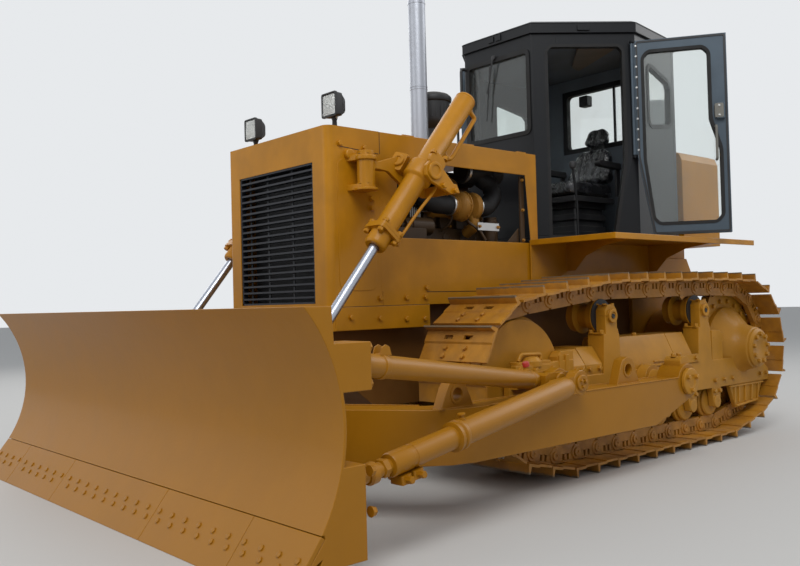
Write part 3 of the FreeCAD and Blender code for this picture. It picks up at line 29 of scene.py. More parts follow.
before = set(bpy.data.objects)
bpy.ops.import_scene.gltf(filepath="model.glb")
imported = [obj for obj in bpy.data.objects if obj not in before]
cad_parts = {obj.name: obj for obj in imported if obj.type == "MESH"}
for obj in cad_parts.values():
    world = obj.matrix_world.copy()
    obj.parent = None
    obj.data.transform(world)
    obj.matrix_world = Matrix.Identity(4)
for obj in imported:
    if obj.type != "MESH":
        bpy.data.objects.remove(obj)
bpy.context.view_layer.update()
AXLE = 1.83835              # sprocket axle behind the middle of the machine
TRACK_Y = 940.0
SPROCKET_Z = 630.56
SIDES = (1, -1)
AHEAD, LEFT, UP = (1, 0, 0), (0, 1, 0), (0, 0, 1)


def mm(x, y, z):
    return Vector((x / 1000 - AXLE, y / 1000, z / 1000))


def colour(red, green, blue):
    """A colour read from 0 to 255 as the eye sees it, made linear."""
    def linear(level):
        level /= 255
        return level / 12.92 if level <= 0.04045 else ((level + 0.055) / 1.055) ** 2.4
    return (linear(red), linear(green), linear(blue), 1.0)


# Finishes
class Field:
    """A value that changes over a surface; Python's operators add the nodes that work on it."""

    def __init__(self, finish, socket):
        self.finish, self.socket = finish, socket

    def maths(self, operation, first, second=0.0):
        return self.finish.node("ShaderNodeMath", {"operation": operation}, {0: first, 1: second})

    def __add__(self, other):
        return self.maths("ADD", self, other)

    def __sub__(self, other):
        return self.maths("SUBTRACT", self, other)

    def __rsub__(self, other):
        return self.maths("SUBTRACT", other, self)

    def __mul__(self, other):
        return self.maths("MULTIPLY", self, other)

    __radd__ = __add__
    __rmul__ = __mul__

    def step(self, low, high):
        """0 below low, 1 above high, smooth between."""
        return self.finish.node("ShaderNodeMapRange", {"interpolation_type": "SMOOTHSTEP"},
                                {"Value": self, "From Min": low, "From Max": high})


class Finish:
    """A material whose nodes are added one call at a time."""

    def __init__(self, name):
        self.material = bpy.data.materials.new(name)
        self.material.use_nodes = True
        self.tree = self.material.node_tree
        self.tree.nodes.clear()
        self.place = self.node("ShaderNodeTexCoord", {}, {}, "Object")
        self.height = self.node("ShaderNodeSeparateXYZ", {}, {0: self.place}, "Z")
        facing = self.node("ShaderNodeNewGeometry", {}, {}, "Normal")
        self.upward = self.node("ShaderNodeSeparateXYZ", {}, {0: facing}, "Z")

    def node(self, kind, settings, sockets, out=0):
        node = self.tree.nodes.new(kind)
        for name, value in settings.items():
            if name == "stops":
                ramp = node.color_ramp.elements
                while len(ramp) < len(value):
                    ramp.new(0.5)
                for element, (position, shade) in zip(ramp, value):
                    element.position, element.color = position, shade
            else:
                setattr(node, name, value)
        for name, value in sockets.items():
            if isinstance(value, Field):
                self.tree.links.new(value.socket, node.inputs[name])
            else:
                node.inputs[name].default_value = value
        return Field(self, node.outputs[out])

    def noise(self, scale, detail=2.0, rough=0.5, stretch=None):
        place = self.place
        if stretch:
            place = self.node("ShaderNodeMapping", {}, {"Vector": place, "Scale": stretch})
        return self.node("ShaderNodeTexNoise", {}, {"Vector": place, "Scale": scale, "Detail": detail,
                                                    "Roughness": rough})

    def blend(self, amount, first, second):
        return self.node("ShaderNodeMix", {"data_type": "RGBA"}, {0: amount, 6: first, 7: second}, 2)

    def surface(self, base, rough, bump=None, depth=0.0005, **fixed):
        """Ends the material; what is fixed is the same all over."""
        sockets = {"Base Color": base, "Roughness": rough}
        if bump is not None:
            sockets["Normal"] = self.node("ShaderNodeBump", {}, {"Height": bump, "Distance": depth,
                                                                 "Strength": 1.0})
        sockets.update({name.replace("_", " ").title().replace("Ior", "IOR"): value
                        for name, value in fixed.items()})
        shader = self.node("ShaderNodeBsdfPrincipled", {}, sockets)
        output = self.tree.nodes.new("ShaderNodeOutputMaterial")
        self.tree.links.new(shader.socket, output.inputs["Surface"])
        return self.material


def painted(name, shade, dust=0.35, wear=0.0, gloss=0.36, streak=0.10, depth=0.80):
    """Enamel with orange peel, uneven tone, dust on what faces up or lies low, and chipped spots."""
    f = Finish(name)
    tone = f.noise(1.1, 4.0) * 0.6 + f.noise(7.0, 3.0) * 0.4
    deep = tuple(level * depth for level in shade[:3]) + (1.0,)
    base = f.blend(tone.step(0.38, 0.62), deep, shade)
    streaks = f.noise(5.0, 4.0, 0.6, (3.0, 3.0, 0.35)).step(0.52, 0.74)
    base = f.blend(streaks * streak, base, tuple(level * 0.55 for level in shade[:3]) + (1.0,))
    low = 1 - f.height.step(0.05, 0.95)
    patches = f.noise(3.2, 6.0, 0.62)
    cover = (f.upward.step(0.35, 0.95) * 0.55 + low * 0.45) * patches.step(0.36, 0.66) * dust
    base = f.blend(cover, base, colour(164, 132, 78))
    rough = gloss + tone * 0.10 + cover * 0.9
    if wear:
        chips = f.noise(34.0, 5.0, 0.7).step(0.70 - 0.12 * wear, 0.76 - 0.12
                * wear) * f.noise(4.0).step(0.4, 0.6)
        base = f.blend(chips * (wear * 0.9), base, colour(92, 74, 58))
        rough = rough + chips * 0.25
    peel = f.noise(240.0, 2.0) * 0.35 + f.noise(22.0, 3.0) * 0.65
    return f.surface(base, rough, peel, 0.0009, coat_weight=0.07, coat_roughness=0.12,
                     specular_ior_level=0.25)


def rubber(name, shade):
    f = Finish(name)
    tone = f.noise(9.0, 5.0).step(0.3, 0.7)
    base = f.blend(tone * 0.3, shade, colour(48, 46, 44))
    return f.surface(base, 0.55 + tone * 0.2, f.noise(150.0, 3.0), 0.0006, specular_ior_level=0.35)


def bare_metal(name, shade, rough, brushed=(1.0, 1.0, 1.0), stain=0.2):
    f = Finish(name)
    lines = f.noise(60.0, 4.0, 0.6, brushed)
    spots = f.noise(8.0, 6.0, 0.65).step(0.5, 0.75)
    base = f.blend(spots * stain, shade, colour(104, 84, 62))
    return f.surface(base, rough + lines * 0.12 + spots * (stain * 0.6), lines, 0.0003, metallic=0.9)


def plastic(name, shade, grain=420.0, gloss=0.5):
    f = Finish(name)
    tone = f.noise(5.0, 4.0).step(0.3, 0.7)
    dusty = f.upward.step(0.3, 0.9) * f.noise(6.0, 5.0).step(0.4, 0.7)
    base = f.blend(dusty * 0.25, f.blend(tone * 0.3, shade, colour(70, 70, 70)), colour(150, 142, 128))
    return f.surface(base, gloss + dusty * 0.3, f.noise(grain, 2.0), 0.0003, specular_ior_level=0.4)


def vinyl(name, shade):
    """Black seat cover still in its glossy wrapping: long creases over a pebbled grain, the creases painted
    lighter as painted sheen of the wrapping.
    """
    f = Finish(name)
    pebbles = f.node("ShaderNodeTexVoronoi", {"feature": "DISTANCE_TO_EDGE"},
                     {"Vector": f.place, "Scale": 330.0})
    creases = f.noise(11.0, 3.0, 0.55, (0.7, 2.8, 1.2))
    # Creases painted lighter grey: painted sheen where the wrapping catches light; their bump is real
    base = f.blend(creases.step(0.5, 0.66) * 0.35, shade, colour(96, 98, 104))
    return f.surface(base, 0.16 + creases * 0.22, pebbles.step(0.0, 0.25) * 0.06 + creases * 0.94, 0.012,
                     coat_weight=0.7, coat_roughness=0.06)


def glazing(name, tint):
    f = Finish(name)
    # Paler, rougher patches spread over the glass
    pale_patches = f.noise(2.5, 5.0, 0.6, (1.0, 1.0, 0.6)).step(0.45, 0.75)
    return f.surface(f.blend(pale_patches * 0.25, tint, colour(214, 214, 206)), 0.015 + pale_patches * 0.05,
                     transmission_weight=0.97, ior=1.45)


def corrugated_core(name):
    """Radiator core: fine upright fins seen between the bars."""
    f = Finish(name)
    fins = f.node("ShaderNodeTexWave", {"bands_direction": "Y"}, {"Vector": f.place, "Scale": 60.0})
    return f.surface(f.blend(fins, colour(10, 10, 11), colour(34, 34, 36)), 0.6 + fins * 0.1, fins, 0.002)


YELLOW = painted("yellow_enamel", colour(188, 126, 12), dust=0.12)
TRACK_YELLOW = painted("track_enamel", colour(180, 124, 28), dust=0.38, wear=0.4, gloss=0.44)
# Blade, cutting edge and push frame: the body's yellow made darker, as painted shade for the blade's shaded
# face, with less dust and mottle
BLADE_YELLOW_SHADED = painted("blade_enamel_painted_shade", colour(160, 106, 12), dust=0.08, wear=0.06, gloss=0.34, streak=0.03,
                       depth=0.93)
CASTING = painted("engine_enamel", colour(168, 118, 44), dust=0.5, wear=0.3, gloss=0.5)
CAB_DARK = painted("cab_enamel", colour(15, 17, 21), dust=0.03, gloss=0.34)
DOOR_GREY = painted("door_enamel", colour(80, 93, 104), dust=0.06, gloss=0.36)
BLACK = painted("black_enamel", colour(22, 23, 25), dust=0.2, gloss=0.42)
# Main frame and drawbar: the yellow enamel made darker brown, as painted shade for where they lie under the
# body
TUB_PAINTED_SHADE = painted("shaded_enamel", colour(112, 70, 22), dust=0.3, wear=0.3, gloss=0.6)
# Engine and its fittings: a dark brown enamel, darker than the turbocharger's engine enamel
ENGINE_DARK = painted("dark_brown_enamel", colour(70, 50, 28), dust=0.3, wear=0.3, gloss=0.5)
GRILLE_BLACK = painted("grille_enamel", colour(40, 42, 48), dust=0.1, gloss=0.38)
STEEL = bare_metal("worn_steel", colour(150, 146, 140), 0.35, stain=0.45)
CHROME = bare_metal("ground_chrome", colour(168, 172, 182), 0.2, (6.0, 6.0, 1.0), stain=0.06)
GALVANISED = bare_metal("stack_steel", colour(160, 163, 170), 0.4, stain=0.12)
CLAMP_STEEL = bare_metal("clamp_steel", colour(190, 190, 188), 0.25, stain=0.05)
HOSE = rubber("hose_rubber", colour(20, 20, 21))
RUBBER = rubber("seal_rubber", colour(15, 15, 16))
BLACK_PLASTIC = plastic("black_plastic", colour(28, 28, 30))
GREY_PLASTIC = plastic("grey_plastic", colour(118, 116, 108))
RED_PLASTIC = plastic("red_cap", colour(176, 44, 30), gloss=0.4)
SEAT_VINYL = vinyl("seat_vinyl", colour(26, 26, 28))
GLASS = glazing("cab_glass", colour(236, 242, 240))
LINING = plastic("cab_lining", colour(96, 104, 112), gloss=0.6)
CEILING = plastic("ceiling_panel", colour(120, 108, 94), gloss=0.7)
LENS = glazing("lamp_glass", colour(250, 251, 250))
CORE = corrugated_core("radiator_core")
# The lamps' mirror reflectors as near-white plastic: painted reflection standing in for the shine of polished
# metal
REFLECTOR_PAINTED_SHINE = plastic("lamp_reflector_painted_shine", colour(248, 248, 246), gloss=0.2)


# Making pieces
def finished(name, mesh, finish, body, stands_for=(), angle=34):
    """One piece of the scene that rides on a body; angle is where its shading breaks."""
    mesh.materials.clear()
    mesh.materials.append(finish)
    if angle:
        mesh.shade_smooth()
        mesh.set_sharp_from_angle(angle=math.radians(angle))
    piece = bpy.data.objects.new(name, mesh)
    bpy.context.scene.collection.objects.link(piece)
    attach(piece, body)
    if stands_for:
        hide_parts(*stands_for)
    return piece


def mesh_of(name, work):
    """A finished bmesh as a mesh whose faces point outwards."""
    bmesh.ops.remove_doubles(work, verts=work.verts, dist=1e-5)
    bmesh.ops.recalc_face_normals(work, faces=work.faces)
    mesh = bpy.data.meshes.new(name)
    work.to_mesh(mesh)
    work.free()
    return mesh


def axes_about(direction):
    along = Vector(direction).normalized()
    across = Vector(UP).cross(along) if abs(along.z) < 0.9 else Vector(LEFT).cross(along)
    across.normalize()
    return along, across, along.cross(across)


def add_turned(work, start, direction, profile, steps=40, hollow=False):
    """A turned form of (distance, radius) in mm along a direction, closed at both ends or a hollow ring."""
    along, across, up = axes_about(direction)
    rings = []
    for distance, radius in profile:
        centre = start + along * (distance / 1000)
        ring = []
        for i in range(steps):
            turn = 2 * math.pi * i / steps
            ring.append(work.verts.new(centre + (across * math.cos(turn) + up * math.sin(turn))
                    * (radius / 1000)))
        rings.append(ring)
    for a, b in zip(rings, rings[1:] + rings[:1] if hollow else rings[1:]):
        for i in range(steps):
            j = (i + 1) % steps
            work.faces.new((a[i], a[j], b[j], b[i]))
    if not hollow:
        work.faces.new(rings[0][::-1])
        work.faces.new(rings[-1])


def add_slab(work, outline, depth):
    """A closed plate: outline holds points in metres, depth is the vector through its thickness."""
    near = [work.verts.new(p) for p in outline]
    far = [work.verts.new(p + depth) for p in outline]
    work.faces.new(near[::-1])
    work.faces.new(far)
    for i in range(len(near)):
        j = (i + 1) % len(near)
        work.faces.new((near[i], near[j], far[j], far[i]))


def add_block(work, x0, x1, y0, y1, z0, z1):
    add_slab(work, [mm(x0, y0, z0), mm(x1, y0, z0), mm(x1, y1, z0), mm(x0, y1, z0)],
             Vector((0, 0, (z1 - z0) / 1000)))


def rounded(outline, radius, steps=4):
    """Corners of a flat outline of points, each rounded off by up to radius in metres."""
    result = []
    count = len(outline)
    for i, corner in enumerate(outline):
        before, after = outline[i - 1] - corner, outline[(i + 1) % count] - corner
        cut = min(radius, before.length * 0.45, after.length * 0.45)
        a, b = corner + before.normalized() * cut, corner + after.normalized() * cut
        for k in range(steps + 1):
            t = k / steps
            result.append((1 - t) ** 2 * a + 2 * t * (1 - t) * corner + t * t * b)
    return result


def bevelled(piece, width, segments=2, angle=32):
    """Broken edges, in mm."""
    edge = piece.modifiers.new("broken_edges", "BEVEL")
    edge.width = width / 1000
    edge.segments = segments
    edge.limit_method = "ANGLE"
    edge.angle_limit = math.radians(angle)
    edge.use_clamp_overlap = False
    edge.harden_normals = True
    return piece


def softened(node, finish, edge=3.0, body="tractor"):
    """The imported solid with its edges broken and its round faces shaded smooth."""
    work = bmesh.new()
    work.from_mesh(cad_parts[node].data)
    bmesh.ops.remove_doubles(work, verts=work.verts, dist=2e-5)
    bmesh.ops.dissolve_limit(work, angle_limit=math.radians(1.0), verts=work.verts, edges=work.edges)
    mesh = bpy.data.meshes.new(node + "_dressed")
    work.to_mesh(mesh)
    work.free()
    piece = finished(node + "_dressed", mesh, finish, body, (node,))
    if edge:
        bevelled(piece, edge)
    return piece


# Things that repeat
class Growth:
    """A Geometry Nodes tree, and the call that grows a plain mesh with it."""

    def __init__(self, name, **inputs):
        self.tree = bpy.data.node_groups.new(name, "GeometryNodeTree")
        self.tree.interface.new_socket("Marks", in_out="INPUT", socket_type="NodeSocketGeometry")
        kinds = {float: "NodeSocketFloat", int: "NodeSocketInt", bpy.types.Object: "NodeSocketObject",
                 bpy.types.Material: "NodeSocketMaterial"}
        self.sockets = {}
        for key, kind in inputs.items():
            socket = self.tree.interface.new_socket(key.replace("_", " "), in_out="INPUT",
                    socket_type=kinds[kind])
            self.sockets[key] = socket.identifier
        self.tree.interface.new_socket("Grown", in_out="OUTPUT", socket_type="NodeSocketGeometry")
        self.given = self.tree.nodes.new("NodeGroupInput").outputs
        self.out = self.tree.nodes.new("NodeGroupOutput").inputs[0]

    def node(self, kind, settings, sockets, out=0):
        node = self.tree.nodes.new(kind)
        for name, value in settings.items():
            setattr(node, name, value)
        for name, value in sockets.items():
            if isinstance(value, bpy.types.NodeSocket):
                self.tree.links.new(value, node.inputs[name])
            else:
                node.inputs[name].default_value = value
        return node.outputs[out]

    def times(self, socket, factor):
        return self.node("ShaderNodeMath", {"operation": "MULTIPLY"}, {0: socket, 1: factor})

    def end(self, instances, finish):
        real = self.node("GeometryNodeRealizeInstances", {}, {0: instances})
        made = self.node("GeometryNodeSetMaterial", {}, {0: real, "Material": finish})
        self.tree.links.new(made, self.out)

    def grow(self, name, marks, finish, body, stands_for=(), angle=34, **values):
        """Runs the tree on a mesh of marks and keeps the result as a plain mesh."""
        seed = bpy.data.objects.new(name + "_marks", marks)
        bpy.context.scene.collection.objects.link(seed)
        modifier = seed.modifiers.new("growth", "NODES")
        modifier.node_group = self.tree
        for key, value in dict(values, Finish=finish).items():
            modifier[self.sockets[key]] = value
        grown = seed.evaluated_get(bpy.context.evaluated_depsgraph_get())
        mesh = bpy.data.meshes.new_from_object(grown)
        bpy.data.objects.remove(seed)
        return finished(name, mesh, finish, body, stands_for, angle)


def marks_mesh(name, marks):
    """Points that each carry the turn of what will stand on them; marks are (place, outward)."""
    mesh = bpy.data.meshes.new(name)
    mesh.from_pydata([place for place, _ in marks], [], [])
    turn = mesh.attributes.new("turn", "FLOAT_VECTOR", "POINT")
    for i, (_, outward) in enumerate(marks):
        turned = outward if isinstance(outward, Matrix) else Vector(outward).to_track_quat("Z",
                "Y").to_matrix()
        turn.data[i].vector = turned.to_euler()
    return mesh


def stand_on_marks(tree, shape):
    """Instances of a shape on the marks, each given its mark's turn."""
    turn = tree.node("GeometryNodeInputNamedAttribute", {"data_type": "FLOAT_VECTOR"}, {"Name": "turn"})
    turn = tree.node("FunctionNodeEulerToRotation", {}, {0: turn})
    return tree.node("GeometryNodeInstanceOnPoints", {}, {"Points": tree.given["Marks"], "Instance": shape,
                                                          "Rotation": turn})


HEXAGON_REACH = 0.577       # corner radius of a hexagon for its width across flats


def bolt_tree():
    """Hexagon head with a short chamfer on a round washer."""
    tree = Growth("bolt_heads", Across=float, Height=float, Washer=float, Finish=bpy.types.Material)
    given = tree.given
    half = tree.times(given["Across"], HEXAGON_REACH)
    low = tree.times(given["Height"], 0.22)
    top = tree.times(half, 0.84)
    head = tree.node("GeometryNodeMeshCylinder", {}, {"Vertices": 6, "Radius": half,
            "Depth": given["Height"]})
    cap = tree.node("GeometryNodeMeshCone", {}, {"Vertices": 6, "Radius Top": top, "Radius Bottom": half,
                                                 "Depth": low})
    washer = tree.node("GeometryNodeMeshCylinder", {}, {"Vertices": 14, "Radius": given["Washer"],
            "Depth": low})

    def raised(shape, height):
        lift = tree.node("ShaderNodeCombineXYZ", {}, {"Z": height})
        return tree.node("GeometryNodeTransform", {}, {"Geometry": shape, "Translation": lift})

    middle = tree.times(given["Height"], 0.5)
    joined = tree.tree.nodes.new("GeometryNodeJoinGeometry")
    for part in (raised(head, middle), raised(cap, given["Height"]), raised(washer, 0.0)):
        tree.tree.links.new(part, joined.inputs[0])
    tree.end(stand_on_marks(tree, joined.outputs[0]), given["Finish"])
    return tree


def copies_tree():
    """Copies of one modelled shape."""
    tree = Growth("copies", Shape=bpy.types.Object, Finish=bpy.types.Material)
    shape = tree.node("GeometryNodeObjectInfo", {}, {"Object": tree.given["Shape"]}, "Geometry")
    tree.end(stand_on_marks(tree, shape), tree.given["Finish"])
    return tree


def weld_tree():
    """A bead of overlapping ripples along the marks' edges."""
    tree = Growth("weld_bead", Width=float, Finish=bpy.types.Material)
    given = tree.given
    curve = tree.node("GeometryNodeMeshToCurve", {}, {0: given["Marks"]})
    pitch = tree.times(given["Width"], 0.55)
    dots = tree.node("GeometryNodeResampleCurve", {"mode": "LENGTH"}, {"Curve": curve, "Length": pitch})
    along = tree.node("GeometryNodeInputTangent", {}, {})
    turn = tree.node("FunctionNodeAlignRotationToVector", {"axis": "Z"}, {"Vector": along})
    radius = tree.times(given["Width"], 0.5)
    ripple = tree.node("GeometryNodeMeshUVSphere", {}, {"Segments": 8, "Rings": 5, "Radius": radius})
    spread = tree.node("FunctionNodeRandomValue", {"data_type": "FLOAT"},
                       {"Min": 0.88, "Max": 1.12, "Seed": 7}, 1)
    scale = tree.node("ShaderNodeCombineXYZ", {}, {"X": spread, "Y": spread, "Z": 0.75})
    beads = tree.node("GeometryNodeInstanceOnPoints", {}, {"Points": dots, "Instance": ripple,
            "Rotation": turn, "Scale": scale})
    tree.end(beads, given["Finish"])
    return tree


BOLT_TREE, COPIES_TREE, WELD_TREE = bolt_tree(), copies_tree(), weld_tree()


def bolts(name, marks, finish, body, across=24.0, height=12.0):
    return BOLT_TREE.grow(name, marks_mesh(name, marks), finish, body, Across=across / 1000,
                          Height=height / 1000, Washer=across * 0.68 / 1000)


def weld(name, paths, finish, body, width=9.0):
    """Weld beads along open paths of points."""
    points, edges = [], []
    for path in paths:
        edges += [(len(points) + i, len(points) + i + 1) for i in range(len(path) - 1)]
        points += path
    mesh = bpy.data.meshes.new(name)
    mesh.from_pydata(points, edges, [])
    return WELD_TREE.grow(name, mesh, finish, body, angle=60, Width=width / 1000)


def add_tube(work, path, radius, steps=14, bend=0.06):
    """A round tube whose corners are bent; path is in metres, radius in mm."""
    points = [path[0]]
    for before, corner, after in zip(path, path[1:], path[2:]):
        a, b = before - corner, after - corner
        cut = min(bend, a.length * 0.45, b.length * 0.45)
        a, b = corner + a.normalized() * cut, corner + b.normalized() * cut
        for k in range(7):
            t = k / 6
            points.append((1 - t) ** 2 * a + 2 * t * (1 - t) * corner + t * t * b)
    points.append(path[-1])
    along, across, up = axes_about(points[1] - points[0])
    ring = [across * math.cos(2 * math.pi * i / steps) + up * math.sin(2 * math.pi * i / steps)
            for i in range(steps)]
    rings = []
    for i, point in enumerate(points):
        ahead = (points[min(i + 1, len(points) - 1)] - points[max(i - 1, 0)]).normalized()
        turn = along.rotation_difference(ahead)
        ring = [turn @ spoke for spoke in ring]
        along = ahead
        rings.append([work.verts.new(point + spoke * (radius / 1000)) for spoke in ring])
    for a, b in zip(rings, rings[1:]):
        for i in range(steps):
            j = (i + 1) % steps
            work.faces.new((a[i], a[j], b[j], b[i]))
    work.faces.new(rings[0][::-1])
    work.faces.new(rings[-1])


def mirrored_too(marks):
    """Marks of the left side, and their mirror images."""
    other = []
    for place, outward in marks:
        outward = Vector(outward)
        other.append((Vector((place.x, -place.y, place.z)), Vector((outward.x, -outward.y, outward.z))))
    return list(marks) + other


def add_mirror(work):
    """The same again on the right side."""
    copy = bmesh.ops.duplicate(work, geom=work.verts[:] + work.edges[:] + work.faces[:])["geom"]
    for vert in [item for item in copy if isinstance(item, bmesh.types.BMVert)]:
        vert.co.y = -vert.co.y
    bmesh.ops.reverse_faces(work, faces=[item for item in copy if isinstance(item, bmesh.types.BMFace)])


# Forms that come back in many pieces; sizes in mm
def add_prism(work, axis, outline, low, high, radius=0.0):
    """An outline pushed along X, Y or Z; its points hold the two other coordinates in order."""
    def point(u, v):
        return mm(*{"X": (low, u, v), "Y": (u, low, v), "Z": (u, v, low)}[axis])
    points = [point(u, v) for u, v in outline]
    if radius:
        points = rounded(points, radius / 1000)
    depth = Vector([float(name == axis) for name in "XYZ"]) * ((high - low) / 1000)
    add_slab(work, points, depth)


def add_loft(work, rings):
    """A closed skin through rings of points of one length."""
    rings = [[work.verts.new(p) for p in ring] for ring in rings]
    count = len(rings[0])
    for a, b in zip(rings, rings[1:]):
        for i in range(count):
            j = (i + 1) % count
            work.faces.new((a[i], a[j], b[j], b[i]))
    work.faces.new(rings[0][::-1])
    work.faces.new(rings[-1])


def moved_out(points, normal, distance):
    """A flat loop of points with every side moved outwards by a distance in metres."""
    area = sum((a.cross(b) for a, b in zip(points, points[1:] + points[:1])), Vector())
    facing = normal if area.dot(normal) > 0 else -normal
    result = []
    for i, corner in enumerate(points):
        before = (corner - points[i - 1]).normalized().cross(facing)
        after = (points[(i + 1) % len(points)] - corner).normalized().cross(facing)
        result.append(corner + (before + after) * (distance / (1 + before.dot(after))))
    return result


def add_frame(work, corners, normal, inner, outer, low, high, radius):
    """A flat ring round an opening: inner to outer beyond its edge, low to high along the normal."""
    normal = Vector(normal).normalized()
    loops = []
    for reach, level in ((inner, low), (outer, low), (outer, high), (inner, high)):
        loop = rounded(moved_out(corners, normal, reach / 1000), max(radius + reach, 6) / 1000, 6)
        loops.append([work.verts.new(p + normal * (level / 1000)) for p in loop])
    count = len(loops[0])
    for a, b in zip(loops, loops[1:] + loops[:1]):
        for i in range(count):
            j = (i + 1) % count
            work.faces.new((a[i], a[j], b[j], b[i]))


def piece(name, work, finish, body="tractor", edge=0.0, stands_for=(), angle=34):
    made = finished(name, mesh_of(name, work), finish, body, stands_for, angle)
    return bevelled(made, edge) if edge else made


def both_sides(name, work, *rest, **fixed):
    """A piece modelled on the left and mirrored to the right."""
    add_mirror(work)
    return piece(name, work, *rest, **fixed)


def spread(xs, ys, zs, way):
    """Marks at every meeting of the given x, y and z, all facing one way."""
    return [(mm(x, y, z), way) for x in xs for y in ys for z in zs]


def rect(x0, x1, z0, z1):
    return [(x0, z0), (x1, z0), (x1, z1), (x0, z1)]


def circle_marks(centre, axis, radius, count, first=0.0):
    """Marks evenly round an axis."""
    along, across, up = axes_about(axis)
    turns = [first + 2 * math.pi * i / count for i in range(count)]
    return [(centre + (across * math.cos(t) + up * math.sin(t)) * (radius / 1000), along) for t in turns]


# Seat: pads blown up as cloth from slightly smaller forms
SEAT_Y = 120.0
VOXEL, VOXEL_QUICK = 0.006, 0.012
CLOTH_FRAMES, CLOTH_PRESSURE = 20, 4
CHANNEL_DEPTH, CHANNEL_WIDTH = 0.007, 6.0
PIPING_HEIGHT, PIPING_WIDTH = 0.0025, 4.0


def smooth_bump(distance, width):
    return math.exp(-(distance / width) ** 2)


def padded_form(name, outline, way, corner, cap, channels, facing, half):
    """A pad from its outline pushed along a way: remeshed, swelled as cloth by up to cap, then sewn along
    its channels and piped at half its width."""
    work = bmesh.new()
    add_slab(work, rounded([mm(*point) for point in outline], corner / 1000, 6), Vector(way) / 1000)
    mesh = mesh_of(name, work)
    mesh.materials.append(SEAT_VINYL)
    pad = bpy.data.objects.new(name + "_form", mesh)
    bpy.context.scene.collection.objects.link(pad)
    grid = pad.modifiers.new("grid", "REMESH")
    grid.mode, grid.voxel_size = "VOXEL", VOXEL
    pad.data = bpy.data.meshes.new_from_object(pad.evaluated_get(bpy.context.evaluated_depsgraph_get()))
    pad.modifiers.clear()
    before = [vert.co.copy() for vert in pad.data.vertices]
    cloth = pad.modifiers.new("cloth", "CLOTH")
    cloth.settings.use_pressure = True
    cloth.settings.uniform_pressure_force = CLOTH_PRESSURE
    cloth.settings.effector_weights.gravity = 0
    scene = bpy.context.scene
    for step in range(1, CLOTH_FRAMES + 1):
        scene.frame_set(step)
    blown = bpy.data.meshes.new_from_object(pad.evaluated_get(bpy.context.evaluated_depsgraph_get()))
    scene.frame_set(1)
    pad.modifiers.clear()
    pad.data = blown
    for vert, start in zip(pad.data.vertices, before):
        moved = vert.co - start
        if moved.length > cap / 1000:
            vert.co = start + moved.normalized() * (cap / 1000)
    normals = [vert.normal.copy() for vert in pad.data.vertices]
    for vert, normal in zip(pad.data.vertices, normals):
        seam = max(smooth_bump(vert.co.y * 1000 - SEAT_Y - at, CHANNEL_WIDTH) for at in channels)
        vert.co -= normal * (CHANNEL_DEPTH * seam * max(0.0, normal.dot(facing)))
        edge = smooth_bump(abs(abs(vert.co.y * 1000 - SEAT_Y) - half + 4), PIPING_WIDTH)
        vert.co += normal * (PIPING_HEIGHT * edge * max(0.0, normal.dot(facing)))
    finer = pad.modifiers.new("finer", "SUBSURF")
    finer.levels = 1
    mesh = bpy.data.meshes.new_from_object(pad.evaluated_get(bpy.context.evaluated_depsgraph_get()))
    bpy.data.objects.remove(pad)
    made = finished(name, mesh, SEAT_VINYL, "tractor", ("seat",), 0)
    mesh.shade_smooth()


def seat():
    upward, forward = Vector(UP), Vector((1, 0, 0.25)).normalized()
    y0, y1 = SEAT_Y - 228, SEAT_Y + 228
    padded_form("seat_cushion", ((418, y0, 1806), (950, y0 + 14, 1818), (950, y1 - 14, 1818),
            (418, y1, 1806)), (6, 0, 78), 90, 12, (-80, 80), upward, 228)
    padded_form("seat_back", ((432, y0 + 6, 1908), (432, y1 - 6, 1908), (326, SEAT_Y + 150, 2196),
                              (326, SEAT_Y - 150, 2196)), (66, 0, 22), 80, 12, (-75, 75), forward, 222)
    padded_form("seat_headrest", ((326, SEAT_Y - 112, 2238), (326, SEAT_Y + 112, 2238),
            (276, SEAT_Y + 84, 2368), (276, SEAT_Y - 84, 2368)), (52, 0, 18), 52, 10, (0,), forward, 112)
    work = bmesh.new()
    add_prism(work, "Z", rect(470, 880, SEAT_Y - 180, SEAT_Y + 180), 1478, 1530, 20)
    for i in range(5):
        inset = 16 if i % 2 else 0
        add_prism(work, "Z", rect(480 + inset, 870 - inset, SEAT_Y - 170 + inset, SEAT_Y + 170 - inset),
                  1530 + 44 * i, 1574 + 44 * i, 24)
    add_prism(work, "Z", rect(430, 930, SEAT_Y - 215, SEAT_Y + 215), 1750, 1792, 24)
    for y in (SEAT_Y - 60, SEAT_Y + 60):
        add_tube(work, [mm(350, y, 2190), mm(330, y, 2270)], 8, 12)
    for side in SIDES:
        y = SEAT_Y + side * 262
        add_prism(work, "Y", [(430, 2010), (700, 2020), (720, 2042), (706, 2062), (440, 2058)], y - 26, y
                  + 26, 14)
        add_prism(work, "Y", [(430, 1800), (480, 1800), (480, 2020), (430, 2020)], y - 8, y + 8)
    piece("seat_base", work, BLACK_PLASTIC, edge=3.0)


seat()


